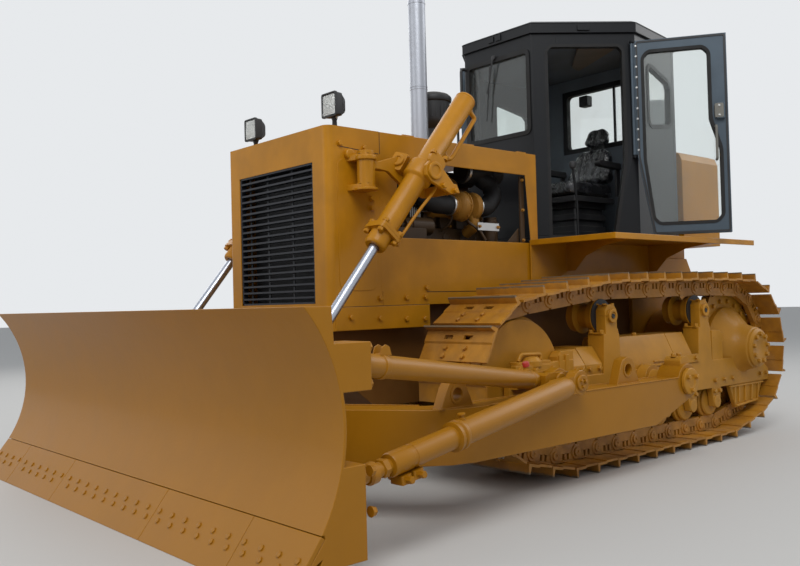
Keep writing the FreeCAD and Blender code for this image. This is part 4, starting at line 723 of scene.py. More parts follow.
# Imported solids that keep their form: edges broken, finish given
DRESSED = (
    ("tractor", 4.0, YELLOW, ("hood", "side_panels", "fenders", "fuel_tank", "rear_case")),
    ("tractor", 0.0, YELLOW, ("radiator_guard",)),
    ("tractor", 3.0, TRACK_YELLOW, ("track_frame_left", "track_frame_right", "equalizer_bar")),
    ("tractor", 3.0, TUB_PAINTED_SHADE, ("main_frame", "drawbar")),
    ("tractor", 3.0, ENGINE_DARK, ("engine",)),
    ("tractor", 3.0, CAB_DARK, ("cab_base", "cab_front", "cab_rear", "cab_side_left", "cab_side_right",
                                "cab_roof")),
    ("tractor", 2.0, GREY_PLASTIC, ("console",)),
    ("blade_frame", 4.0, BLADE_YELLOW_SHADED, ("moldboard", "cutting_edge", "c_frame")),
    ("piston_rod_left", 2.0, CHROME, ("lift_rod_left",)),
    ("piston_rod_right", 2.0, CHROME, ("lift_rod_right",)),
    ("cab_door_left", 3.0, DOOR_GREY, ("door_left",)),
    ("cab_door_right", 3.0, DOOR_GREY, ("door_right",)),
)
PLAIN = ((GLASS, ("cab_glass", "door_glass_left", "door_glass_right")), (CORE, ("radiator",)))
YOKE_PLATE_TOP, YOKE_PLATE_SUNK, YOKE_PLATE_X = 0.5505, 0.5185, 3.0


def flattened(mesh):
    """The yokes' plates sunk into the nose, where the photo shows none standing out."""
    for vert in mesh.vertices:
        if abs(vert.co.y) < YOKE_PLATE_TOP and vert.co.x + AXLE > YOKE_PLATE_X:
            vert.co.y = math.copysign(YOKE_PLATE_SUNK, vert.co.y)


flattened(softened("cylinder_yokes", YELLOW, 4.0).data)
for body, edge, finish, nodes in DRESSED:
    for node in nodes:
        softened(node, finish, edge, body)
for finish, nodes in PLAIN:
    for node in nodes:
        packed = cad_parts[node].data
        packed.materials.clear()
        packed.materials.append(finish)


# Tracks: the loop of pins is worked out from the wheels, as on the drawing
PITCH, SHOES, TEETH = 203.2, 37, 27
IDLER = (2420.7, 580.0)
PIN_Z = 110.0
ROLLER_Z = 270.0
ROLLER_XS = [410 + 324 * i for i in range(6)]
CARRIERS = ((550, 1078), (1655, 1068))      # x of each roller and height of the pins above it
CARRIER_DROP = 158
WHEELS = ([(0, SPROCKET_Z, 440.56), (IDLER[0], IDLER[1], 405)]
          + [(x, PIN_Z + 154, 154) for x in (ROLLER_XS[0] - PITCH / 2, ROLLER_XS[-1] + PITCH / 2)]
          + [(x, z - 154, 154) for x, z in CARRIERS])


def pin_places():
    """Pins spaced evenly along the taut loop round the wheels, as (x, z)."""
    points = sorted((x + r * math.cos(math.pi * i / 60), z + r * math.sin(math.pi * i / 60))
                    for x, z, r in WHEELS for i in range(120))
    loop = []
    for run in (points, points[::-1]):
        edge = []
        for p in run:
            while len(edge) > 1 and ((edge[-1][0] - edge[-2][0]) * (p[1] - edge[-2][1])
                                     <= (edge[-1][1] - edge[-2][1]) * (p[0] - edge[-2][0])):
                edge.pop()
            edge.append(p)
        loop += edge[:-1]
    spans = [math.dist(a, b) for a, b in zip(loop, loop[1:] + loop[:1])]
    step, pins, gone = sum(spans) / SHOES, [], 0.0
    for a, b, span in zip(loop, loop[1:] + loop[:1], spans):
        while len(pins) < SHOES and len(pins) * step < gone + span:
            t = (len(pins) * step - gone) / span
            pins.append((a[0] + (b[0] - a[0]) * t, a[1] + (b[1] - a[1]) * t))
        gone += span
    return pins


PINS = pin_places()


def link_marks(y):
    """Middle of each link with its axes: along the chain, across it, outwards."""
    marks = []
    for (x0, z0), (x1, z1) in zip(PINS, PINS[1:] + PINS[:1]):
        along = Vector((x1 - x0, 0, z1 - z0)).normalized()
        outward = Vector((along.z, 0, -along.x))
        across = outward.cross(along)
        marks.append((mm((x0 + x1) / 2, y, (z0 + z1) / 2), Matrix((along, across, outward)).transposed()))
    return marks


WORN_FROM, WORN_OVER = 0.085, 0.025      # height on the grouser where the paint starts to go


def link_block(work, x0, x1, y0, y1, z0, z1):
    corners = [Vector((x, y, z0)) / 1000 for x, y in ((x0, y0), (x1, y0), (x1, y1), (x0, y1))]
    add_slab(work, corners, Vector((0, 0, (z1 - z0) / 1000)))


def shoe_and_link():
    """Template of one link: both link plates, bush and pin ends, the shoe with its slots, bar and bolts."""
    work = bmesh.new()
    across = LEFT
    for side in SIDES:
        for x0, x1, z0, z1 in ((-92, 92, -55, 0), (-80, 80, 37, 47), (-82, -31, -2, 39), (-10, 10, -2, 39),
                               (31, 82, -2, 39)):
            y0, y1 = sorted((side * 68, side * 102))
            link_block(work, x0, x1, y0, y1, z0, z1)
        for x, inner, outer, radius in ((-101.6, 84, 108, 46), (101.6, 62, 86, 46)):
            y0, y1 = sorted((side * inner, side * outer))
            add_turned(work, Vector((x, y0, 0)) / 1000, across,
                       ((0, radius - 3), (3, radius), (y1 - y0 - 3, radius), (y1 - y0, radius - 3)), 20)
        start, direction = Vector((-101.6, side * 100, 0)) / 1000, (0, side, 0)
        add_turned(work, start, direction, ((0, 27), (14, 27), (16, 24), (16, 10), (12, 8)), 16)
    add_turned(work, Vector((-101.6, -84, 0)) / 1000, across, ((0, 33), (168, 33)), 20)
    breaks_x = (-99, 2, 12, 26, 52, 99)
    breaks_y = (-255, -106, -42, 42, 106, 255)
    for i, (x0, x1) in enumerate(zip(breaks_x, breaks_x[1:])):
        for j, (y0, y1) in enumerate(zip(breaks_y, breaks_y[1:])):
            if i == 3 and j in (1, 3):
                continue
            z_near, z_far = (60, 60) if i == 0 else (60, 67) if i == 1 else (67, 67)
            low = 47 if i < 2 else 52
            ring = [Vector(p) / 1000 for p in ((x0, y0, low), (x1, y0, low), (x1, y1, low), (x0, y1, low))]
            top = [Vector(p) / 1000 for p in ((x0, y0, z_near), (x1, y0, z_far), (x1, y1, z_far),
                    (x0, y1, z_near))]
            a, b = [work.verts.new(p) for p in ring], [work.verts.new(p) for p in top]
            work.faces.new(a[::-1])
            work.faces.new(b)
            for k in range(4):
                work.faces.new((a[k], a[(k + 1) % 4], b[(k + 1) % 4], b[k]))
    bar = [Vector((x, -254, z)) / 1000 for x, z in ((76, 60), (97, 60), (97, 74), (92, 104), (89, 110),
            (80, 110), (78, 100), (76, 74))]
    add_slab(work, bar, Vector((0, 0.508, 0)))
    bmesh.ops.recalc_face_normals(work, faces=work.faces)
    mesh = bpy.data.meshes.new("link_template")
    work.to_mesh(mesh)
    work.free()
    worn = mesh.attributes.new("worn", "FLOAT", "POINT")
    for vert in mesh.vertices:
        worn.data[vert.index].value = max(0.0, (vert.co.z - WORN_FROM) / WORN_OVER)
    template = bpy.data.objects.new("link_template", mesh)
    bpy.context.scene.collection.objects.link(template)
    return template


def worn_track_paint():
    """Track enamel, rubbed to steel where the attribute says that it is worn."""
    f = Finish("rubbed_track_enamel")
    worn = f.node("ShaderNodeAttribute", {"attribute_name": "worn"}, {}, "Fac")
    tone = f.noise(2.0, 4.0) * 0.6 + f.noise(14.0, 3.0) * 0.4
    base = f.blend(tone.step(0.35, 0.65), colour(150, 98, 20), colour(182, 124, 28))
    dirt = f.noise(6.0, 6.0, 0.65).step(0.42, 0.72) * (1.15 - f.height.step(0.0, 0.9) * 0.6)
    base = f.blend(dirt * 0.40, base, colour(122, 94, 58))
    rub = (worn * (0.55 + f.noise(30.0, 4.0, 0.6))).step(0.55, 0.85)
    base = f.blend(rub, base, colour(112, 96, 74))
    return f.surface(base, 0.48 + dirt * 0.35 - rub * 0.12, f.noise(45.0, 5.0, 0.6) + dirt * 0.4, 0.0014,
                     metallic=0.0, coat_weight=0.05)


RUBBED = worn_track_paint()
TEMPLATE = shoe_and_link()
SHOE_BOLTS_X, SHOE_BOLTS_Y, SHOE_TOP = (-72, -22), (-74, 74), 59
for side, node in zip(SIDES, ("track_left", "track_right")):
    COPIES_TREE.grow(node + "_chain", marks_mesh(node, link_marks(side * TRACK_Y)), RUBBED, "tractor",
                     (node,), Shape=TEMPLATE)
bpy.data.objects.remove(TEMPLATE)


def shoe_bolts(y):
    """Marks for the four bolts of every shoe of the track at y."""
    marks = []
    for place, axes in link_marks(y):
        along, across, outward = (Vector(column) for column in axes.transposed())
        for s in SHOE_BOLTS_X:
            for t in SHOE_BOLTS_Y:
                marks.append((place + (along * s + across * t + outward * SHOE_TOP) / 1000, outward))
    return marks


bolts("shoe_bolts", shoe_bolts(TRACK_Y) + shoe_bolts(-TRACK_Y), RUBBED, "tractor", 26, 13)


# Wheels inside the tracks
def wheels():
    """Track rollers with their flanges, carrier rollers and idlers."""
    work = bmesh.new()
    across = LEFT
    for x in ROLLER_XS:
        add_turned(work, mm(x, 807, ROLLER_Z), across, ((0, 60), (6, 96), (14, 104), (29, 104), (36, 118),
                (44, 121), (54, 121), (60, 106), (108, 98), (158, 98), (206, 106), (212, 121), (222, 121),
                (230, 118), (237, 104), (252, 104), (260, 96), (266, 60)), 36)
    for x, z in CARRIERS:
        add_turned(work, mm(x, 837, z - CARRIER_DROP), across, ((0, 70), (8, 92), (14, 98), (52, 98),
                (58, 108), (70, 110), (74, 98), (80, 74), (150, 74), (156, 98), (194, 98), (198, 110),
                (206, 110), (210, 60)), 36)
    add_mirror(work)
    finished("track_rollers_turned", mesh_of("rollers", work), TRACK_YELLOW, "tractor", ("track_rollers",),
             30)
    work = bmesh.new()
    profile = ((0, 60), (30, 60), (32, 326), (38, 335), (66, 336), (70, 346), (76, 357), (84, 358),
               (188, 358), (196, 357), (202, 346), (206, 336), (236, 336), (240, 334), (242, 330),
               (242, 92), (286, 90), (286, 60))
    add_turned(work, mm(IDLER[0], 805, IDLER[1]), across, profile, 96)
    add_mirror(work)
    finished("idlers_turned", mesh_of("idlers", work), TRACK_YELLOW, "tractor", ("idlers",), 25)


def sprocket_and_drive():
    """Toothed ring bolted to its hub, with the ribbed drive housing and the hub's cap outside it."""
    work = bmesh.new()
    outline = []
    for i in range(TEETH):
        for part, radius in ((-0.5, 407), (-0.36, 408), (-0.2, 418), (-0.1, 426), (0.1, 426), (0.2, 418),
                             (0.36, 408)):
            turn = 2 * math.pi * (i + part) / TEETH
            outline.append(mm(radius * math.sin(turn), 908, SPROCKET_Z + radius * math.cos(turn)))
    add_slab(work, outline, Vector((0, 0.064, 0)))
    add_turned(work, mm(0, 450, SPROCKET_Z), LEFT, ((0, 270), (10, 290), (300, 290), (320, 300),
            (440, 300), (458, 290)), 64)
    add_turned(work, mm(0, 972, SPROCKET_Z), LEFT, ((0, 300), (30, 299), (38, 292), (60, 268), (138, 190),
            (160, 172), (205, 158), (240, 150), (248, 142), (262, 140), (270, 132), (278, 118), (278, 60),
            (274, 52)), 72)
    add_mirror(work)
    finished("sprockets_turned", mesh_of("sprockets", work), TRACK_YELLOW, "tractor", ("sprockets",), 28)
    ring = []
    for count, first, radius, y in ((9, 0, 100, 1249), (20, 0.5, 345, 971)):
        for i in range(count):
            turn = 2 * math.pi * (i + first) / count
            ring.append((mm(radius * math.sin(turn), y, SPROCKET_Z + radius * math.cos(turn)), LEFT))
    bolts("drive_bolts", mirrored_too(ring), TRACK_YELLOW, "tractor", 30, 16)


wheels()
sprocket_and_drive()


# Nose: grille, lamps, panels and their bolts
NOSE_SIDE = 520.0
HOOD_TOP = 1998.0
LAMP_Y, LAMP_Z = 412.0, 2136.0
BARS, BARS_LOW, BARS_TALL = 20, 1030, 780
CORNER_X, CORNER_Y, CORNER_OUT, CORNER_IN = 3305, 475, 45.6, 42


def grille():
    """Thin bars with a turned-down lip in a dark frame, and three uprights behind them."""
    work = bmesh.new()
    for y0, y1, z0, z1 in ((-385, -372, 1030, 1810), (372, 385, 1030, 1810), (-385, 385, 1030, 1041),
                           (-385, 385, 1799, 1810)):
        add_block(work, 3312, 3345, y0, y1, z0, z1)
    for y in (-322, -128, 128):
        add_block(work, 3308, 3312, y - 9, y + 9, 1034, 1806)
    for i in range(BARS):
        z = BARS_LOW + BARS_TALL * (i + 1) / (BARS + 1)
        add_prism(work, "Y", [(3314, z - 7), (3340, z + 1), (3341, z - 6), (3344, z - 6), (3344, z + 5),
                              (3314, z - 4)], -383, 383)
    piece("grille_bars", work, GRILLE_BLACK, stands_for=("radiator_grille",))


def lamps():
    """Square work lamps with a deep rounded housing, bezel, reflector and lens on a swivel foot."""
    housing, glass, metal, feet = bmesh.new(), bmesh.new(), bmesh.new(), bmesh.new()

    def ring(x, half_y, half_z, radius):
        corners = [mm(x, LAMP_Y + side * half_y, LAMP_Z + end * half_z)
                   for side, end in ((-1, -1), (1, -1), (1, 1), (-1, 1))]
        return rounded(corners, radius / 1000)
    add_loft(housing, [ring(3158, 34, 34, 12), ring(3166, 42, 42, 14), ring(3196, 58, 60, 16),
                       ring(3200, 62, 64, 14), ring(3236, 64, 66, 14), ring(3238, 67, 69, 14),
                       ring(3250, 67, 69, 14), ring(3251, 60, 62, 10), ring(3243, 56, 58, 10)])
    add_loft(metal, [ring(3243.5, 54, 56, 10), ring(3245, 52, 54, 10)])
    add_loft(glass, [ring(3245.5, 55, 57, 10), ring(3248, 55, 57, 10), ring(3249.5, 46, 48, 10)])
    add_prism(feet, "Z", [(3184, 386), (3236, 386), (3236, 438), (3184, 438)], HOOD_TOP, HOOD_TOP + 9, 14)
    add_turned(housing, mm(3210, LAMP_Y, 2012), UP, ((0, 15), (40, 13), (50, 17), (60, 17)), 20)
    add_turned(feet, mm(3210, LAMP_Y, 2006), UP, ((0, 30), (5, 29), (9, 22), (10, 8)), 20)
    add_prism(housing, "Y", [(3196, 2062), (3224, 2062), (3230, 2076), (3190, 2076)], 404, 420)
    for work in (housing, glass, metal, feet):
        add_mirror(work)
    piece("lamp_housings", housing, BLACK_PLASTIC, stands_for=("work_lamps",), angle=40)
    piece("lamp_reflectors", metal, REFLECTOR_PAINTED_SHINE)
    piece("lamp_lenses", glass, LENS)
    piece("lamp_feet", feet, YELLOW)
    bolts("lamp_bolts", mirrored_too([(mm(3210, 432, 2069), LEFT), (mm(3193, 395, 2007), UP),
                                      (mm(3227, 429, 2007), UP)]), CLAMP_STEEL, "tractor", 11, 6)


def nose_panels():
    """Pressed panel, overlapping lower strip, seams, rounded corner on each side; pull block."""
    work = bmesh.new()
    add_prism(work, "Y", rect(3020, 3284, 1096, 1822), NOSE_SIDE - 1, NOSE_SIDE + 3, 58)
    add_prism(work, "Y", [(2620, 880), (3318, 880), (3318, 1006), (2620, 1010)], NOSE_SIDE - 1, NOSE_SIDE + 4)
    both_sides("nose_pressings", work, YELLOW, edge=2.0)
    work = bmesh.new()
    add_prism(work, "Y", [(2987, 1868), (3277, 1886), (3277, 1890), (2987, 1872)], NOSE_SIDE - 1, NOSE_SIDE
              + 0.8)
    add_prism(work, "Y", rect(1990, 2636, 1083, 1087), NOSE_SIDE - 1, NOSE_SIDE + 0.8)
    add_prism(work, "Y", [(2620, 1010), (3318, 1006), (3318, 1009), (2620, 1013.5)], NOSE_SIDE - 1,
              NOSE_SIDE + 1.5)
    add_prism(work, "Y", rect(2976, 2980, 1870, 1996), NOSE_SIDE - 6, NOSE_SIDE + 0.4)
    both_sides("nose_seams", work, BLACK)
    work = bmesh.new()
    add_prism(work, "Y", rect(2968, 2988, 1090, 1868), NOSE_SIDE - 6, NOSE_SIDE + 0.5)
    both_sides("nose_joint", work, YELLOW)
    work = bmesh.new()
    bend = [math.radians(9 * i) for i in range(11)]
    outline = [(CORNER_X + reach * math.sin(turn), CORNER_Y + reach * math.cos(turn))
               for reach, turns in ((CORNER_OUT, bend), (CORNER_IN, bend[::-1])) for turn in turns]
    add_prism(work, "Z", outline, 878.5, HOOD_TOP)
    both_sides("nose_corners", work, YELLOW)
    rows = [(mm(x, NOSE_SIDE + out, z), LEFT) for x, z, out in ((3000, 1053, 1), (2802, 1053, 1),
            (2652, 1055, 1), (2640, 1110, 1), (3264, 1904, 1), (3090, 1893, 1), (3214, 950, 4),
            (3008, 940, 4), (2810, 932, 4), (2664, 928, 4))]
    bolts("nose_bolts", mirrored_too(rows), YELLOW, "tractor", 27, 13)
    work = bmesh.new()
    add_prism(work, "Y", [(3296, 866), (3304, 872), (3500, 812), (3500, 800)], -205, 205)
    piece("pull_block_plate", work, YELLOW, edge=2.0)
    slope = Vector((60, 0, 196)).normalized()
    marks = [(mm(x, y, 868 - (x - 3300) * 0.305 + 5), slope) for x in (3360, 3450)
             for y in (-150, -50, 50, 150)]
    bolts("pull_block_bolts", marks, YELLOW, "tractor", 30, 15)


grille()
lamps()
nose_panels()


# Lift cylinders and the brackets that carry them
LIFT_DIR = Vector((0.635454, 0.0, -0.772139))
LIFT_PIN = (2870.0, 735.0, 1740.0)


def on_lift(along, behind=0.0, out=0.0):
    """Point of the left cylinder: along its axis from the pin, behind and below it, outboard of it."""
    x, y, z = LIFT_PIN
    return mm(x + LIFT_DIR.x * along + LIFT_DIR.z * behind, y + out, z + LIFT_DIR.z * along - LIFT_DIR.x
              * behind)


def cylinder_parts():
    """Barrel with its cap, collar, double flange and gland; its oil pipes; its bolts."""
    barrel = bmesh.new()
    add_turned(barrel, on_lift(-616), LIFT_DIR, ((0, 30), (1, 48), (8, 57), (18, 62), (22, 62), (24, 60),
            (28, 60), (30, 62), (552, 62), (558, 66), (564, 78), (572, 82), (578, 83), (654, 83),
            (660, 82), (668, 78), (674, 66), (680, 62), (1034, 62), (1072, 62), (1078, 61), (1140, 61),
            (1150, 58), (1156, 52), (1156, 33), (1150, 30)), 48)
    for start, end, half in ((418, 436, 76), (439, 458, 79)):
        corners = [on_lift(start, a, b) for a, b in ((half, half), (-half, half), (-half, -half),
                (half, -half))]
        add_slab(barrel, rounded(corners, 0.024), LIFT_DIR * ((end - start) / 1000))
    for side in SIDES:
        add_turned(barrel, on_lift(0, 0, side * 60), (0, side, 0), ((0, 44), (24, 40), (28, 30), (60, 30)),
                   24)
    below = on_lift(0, 1) - on_lift(0, 0)
    for port, neck, end in (((-572, 52), 16, 34), ((-222, 52), 14, 28), ((438, 74, 20), 10, 26)):
        add_turned(barrel, on_lift(*port), below, ((0, 20), (neck, 20), (neck + 2, 14), (end, 14)), 16)
    pipes = bmesh.new()
    add_tube(pipes, [on_lift(-572, 80), on_lift(-572, 122), on_lift(-260, 126), on_lift(-222, 116),
                     on_lift(-222, 78)], 13)
    add_tube(pipes, [on_lift(-40, 84, 40), on_lift(-20, 104, 50), on_lift(60, 106, 54), on_lift(200, 96, 40),
                     on_lift(400, 96, 20), on_lift(438, 110, 20), on_lift(438, 96, 20)], 9)
    for side, name in zip(SIDES, ("left", "right")):
        for work, kind, finish, stands in ((barrel, "barrel", YELLOW, ("lift_barrel_" + name,)),
                                           (pipes, "pipes", YELLOW, ())):
            copy = work.copy()
            if side < 0:
                for vert in copy.verts:
                    vert.co.y = -vert.co.y
            piece("cylinder_%s_%s" % (kind, name), copy, finish, "cylinder_" + name, 0.0, stands, 40)
        marks = []
        for a, b in ((58, 58), (-58, 58), (-58, -58), (58, -58)):
            marks.append((on_lift(459, a, b), LIFT_DIR))
            marks.append((on_lift(417, a, b), -LIFT_DIR))
        marks = [(Vector((p.x, side * p.y, p.z)), d) for p, d in marks]
        bolts("cylinder_bolts_" + name, marks, YELLOW, "cylinder_" + name, 30, 18)


def yoke_parts():
    """Bearing caps, the swivel post's cap and the bolts of the cylinders' brackets."""
    work = bmesh.new()
    add_turned(work, mm(3150, 605, 1806), UP, ((0, 56), (4, 60), (20, 60), (26, 56), (30, 30)), 32)
    add_turned(work, mm(3150, 605, 1640), UP, ((0, 40), (2, 66), (14, 66), (18, 52)), 32)
    tilt = Matrix.Rotation(math.radians(-32), 3, "Y")
    for y0, y1 in ((596, 640), (830, 856)):
        outline = []
        for u, v in ((-50, 30), (60, 30), (64, 72), (30, 104), (-22, 104), (-54, 76)):
            turned = tilt @ Vector((u, 0, v))
            outline.append((2870 + turned.x, 1740 + turned.z))
        add_prism(work, "Y", outline, y0, y1, 10)
    add_turned(work, mm(2870, 855, 1740), LEFT, ((0, 50), (10, 50), (14, 46), (14, 32), (8, 30)), 32)
    add_turned(work, mm(3206, 512, 1846), LEFT, ((0, 30), (30, 30), (36, 24)), 20)
    add_prism(work, "Z", [(3100, 519), (3196, 519), (3196, 548), (3128, 566)], 1836, 1852, 6)
    face = Vector((0.75, 0.45, 0.48)).normalized()
    along = (LIFT_DIR - face * LIFT_DIR.dot(face)).normalized()
    across = face.cross(along)
    centre = mm(2945, 636, 1819)
    corners = [centre + along * (0.058 * u) + across * (0.043 * v) for u,
               v in ((-1, -1), (1, -1), (1, 1), (-1, 1))]
    add_slab(work, rounded(corners, 0.014), face * -0.055)
    both_sides("yoke_castings", work, YELLOW, edge=2.0)
    work = bmesh.new()
    add_turned(work, mm(2948, 640, 1822), (0.75, 0.45, 0.48), ((-6, 38), (6, 38), (10, 34), (10, 24),
            (4, 22)), 28)
    both_sides("yoke_rings", work, YELLOW)
    marks = [(mm(x, NOSE_SIDE + 3, z), LEFT) for x, z in ((3052, 1612), (3052, 1560))]
    for u, v in ((-40, 106), (46, 88)):
        place = tilt @ Vector((u, 0, v))
        marks += [(mm(2870 + place.x, y, 1740 + place.z), tilt @ Vector(UP)) for y in (618, 843)]
    marks += [(mm(2722, 857, 1640), LEFT), (mm(2810, 857, 1662), LEFT)]
    bolts("yoke_bolts", mirrored_too(marks), YELLOW, "tractor", 28, 18)


cylinder_parts()
yoke_parts()


# Cab: seals, trim and fittings.  s runs back along the slanted left side from its front corner
FACE_START, FACE_DIR, FACE_OUT = (1380.0, 328.0), (-0.78748, 0.61634), (0.61634, 0.78748)
HINGE_S, HINGE_N = 716.0, 28.0
DOOR_OPEN = {1: math.radians(162.8), -1: 0.0}
DOORWAY = ((104, 1460), (578, 1460), (583, 1510), (664, 2000), (664, 2790), (630, 2826), (140, 2826),
           (104, 2790))
DOOR_PANE = ((136, 1575), (180, 1530), (560, 1530), (600, 1570), (650, 1990), (650, 2715), (610, 2757),
             (240, 2757), (200, 2715), (200, 2250), (136, 2040))
DOOR_RIM = ((100, 1468), (592, 1468), (684, 2012), (684, 2824), (100, 2824))
QUARTER_PANE = ((215, 2350), (250, 2315), (560, 2270), (600, 2305), (600, 2690), (560, 2725), (255, 2655),
                (215, 2610))
SIDE_NAMES = {1: "left", -1: "right"}
DOORS = {1: "cab_door_left", -1: "cab_door_right"}


def on_face(s, n, z, side=1):
    """Point of the slanted side: s back along it, n outwards."""
    x = FACE_START[0] + FACE_DIR[0] * s + FACE_OUT[0] * n
    y = FACE_START[1] + FACE_DIR[1] * s + FACE_OUT[1] * n
    return mm(x, side * y, z)


def on_door(s, n, z, side=1):
    """Point of a door as it stands at rest: the left one open, the right one closed."""
    hinge = on_face(HINGE_S, HINGE_N, 0)
    point = on_face(s, n, z) - hinge
    point = Matrix.Rotation(DOOR_OPEN[side], 3, "Z") @ point + hinge
    return Vector((point.x, side * point.y, point.z))


def door_way(dn, side=1):
    """Direction along a door's thickness."""
    return (on_door(0, dn, 0, side) - on_door(0, 0, 0, side)).normalized()


def cab_seals():
    """Rubber round the panes, the doors and their doorways."""
    work = bmesh.new()
    screen = [mm(1380, y, z) for y, z in ((-295, 2215), (295, 2215), (295, 2800), (-295, 2800))]
    add_frame(work, screen, AHEAD, -16, 16, -46, 7, 40)
    back = [mm(130, y, z) for y, z in ((-310, 2275), (310, 2275), (310, 2760), (-310, 2760))]
    add_frame(work, back, (-1, 0, 0), -16, 16, -46, 7, 60)
    for side in SIDES:
        pane = [mm(x, side * (700 + (x - 130) * 89 / 661), z) for x, z in QUARTER_PANE]
        add_frame(work, pane, (-0.1334, side * 0.991, 0), -14, 16, -46, 7, 22)
    piece("window_seals", work, RUBBER)
    for side in SIDES:
        name = SIDE_NAMES[side]
        work = bmesh.new()
        pane = [on_door(s, 0, z, side) for s, z in DOOR_PANE]
        add_frame(work, pane, door_way(1, side), -13, 9, 3.5, 52.5, 26)
        piece("door_seal_" + name, work, RUBBER, DOORS[side])
        work = bmesh.new()
        outline = [on_door(s, 0, z, side) for s, z in DOOR_RIM]
        add_frame(work, outline, door_way(1, side), -5, 7, 3.5, 9, 14)
        piece("door_gasket_" + name, work, BLACK_PLASTIC, DOORS[side])
    work = bmesh.new()
    for side in SIDES:
        way = [on_face(s, 0, z, side) for s, z in DOORWAY]
        add_frame(work, way, Vector((FACE_OUT[0], side * FACE_OUT[1], 0)), -12, 10, -47, 0.5, 20)
    piece("doorway_trim", work, RUBBER)


def door_fittings():
    """Latch, grab bar, outside handle and hinge bolts of each door."""
    for side in SIDES:
        name = SIDE_NAMES[side]
        work = bmesh.new()
        corners = [on_door(s, -1, z, side) for s, z in ((120, 2246), (178, 2246), (178, 2344), (120, 2344))]
        add_slab(work, rounded(corners, 0.012), door_way(1, side) * -0.026)
        add_tube(work, [on_door(172, 8, 1960, side), on_door(172, -32, 1960, side),
                        on_door(172, -32, 2190, side), on_door(172, 8, 2190, side)], 9, 12, 0.03)
        add_tube(work, [on_door(160, 46, 2240, side), on_door(160, 84, 2240, side),
                        on_door(160, 84, 2390, side), on_door(160, 46, 2390, side)], 10, 12, 0.03)
        piece("door_fittings_" + name, work, GREY_PLASTIC if side > 0 else BLACK_PLASTIC, DOORS[side], 1.5)
        marks = [(on_door(690, 8, z, side), -door_way(1, side)) for z in range(2060, 2820, 74)]
        marks += [(on_door(149, -27, z, side), -door_way(1, side)) for z in (2262, 2328)]
        bolts("door_bolts_" + name, marks, CLAMP_STEEL, DOORS[side], 12, 6)


def plan_loop(z):
    """The cab's outline seen from above."""
    left = [(1380, 328), (791, 789), (130, 700)]
    return [mm(x, y, z) for x, y in left + [(x, -y) for x, y in reversed(left)]]


def cab_trim():
    """Strips round the roof and the base, roof clips, handles, wiper, bolts and strikers."""
    work = bmesh.new()
    for z, reach, tall in ((2911, 21, 7), (2979, 20, 6), (1424, 8, 26)):
        add_frame(work, plan_loop(z), UP, 4, reach, 0, tall, 2)
    for y0, y1 in ((-60, -10), (10, 60)):
        add_block(work, 1392, 1404, y0, y1, 2930, 2972)
    for side in SIDES:
        corners = [on_face(s, 14, z, side) for s, z in ((330, 2926), (420, 2926), (420, 2972), (330, 2972))]
        add_slab(work, rounded(corners, 0.008), Vector((FACE_OUT[0], side * FACE_OUT[1], 0)) * 0.014)
    piece("cab_trim", work, CAB_DARK, edge=1.5)
    work = bmesh.new()
    add_tube(work, [mm(1378, -312, 2790), mm(1440, -312, 2790), mm(1440, -312, 2500),
                    mm(1378, -312, 2500)], 11)
    add_tube(work, [mm(1386, -20, 2815), mm(1400, -20, 2815), mm(1396, -90, 2560)], 6, 10)
    add_tube(work, [mm(1391, -60, 2760), mm(1391, -104, 2360)], 5, 8)
    add_turned(work, mm(1380, -20, 2815), AHEAD, ((0, 20), (22, 18), (24, 12)), 20)
    piece("cab_handles", work, BLACK_PLASTIC)
    marks = [(on_face(s, 6, 1437, side), (FACE_OUT[0], side * FACE_OUT[1], 0)) for s in range(60, 720, 130)
             for side in SIDES]
    marks += [(mm(1387, y, 1437), AHEAD) for y in (-260, -90, 90, 260)]
    bolts("cab_bolts", marks, CAB_DARK, "tractor", 20, 10)
    work = bmesh.new()
    for side in SIDES:
        corners = [on_face(s, -46, z, side) for s, z in ((106, 2262), (118, 2262), (118, 2320), (106, 2320))]
        add_slab(work, rounded(corners, 0.004), Vector((FACE_OUT[0], side * FACE_OUT[1], 0)) * 0.014)
    piece("door_strikers", work, CLAMP_STEEL)


LEVERS = ((1090, -150, -30, 1478, 1700, 1960), (1090, -60, 10, 1478, 1700, 1960),
          (1090, 470, 40, 1478, 1700, 1960), (700, -372, 20, 1880, 1990, 2090),
          (800, -372, -20, 1880, 1990, 2090))      # x, y, lean, and heights of foot, knee and top


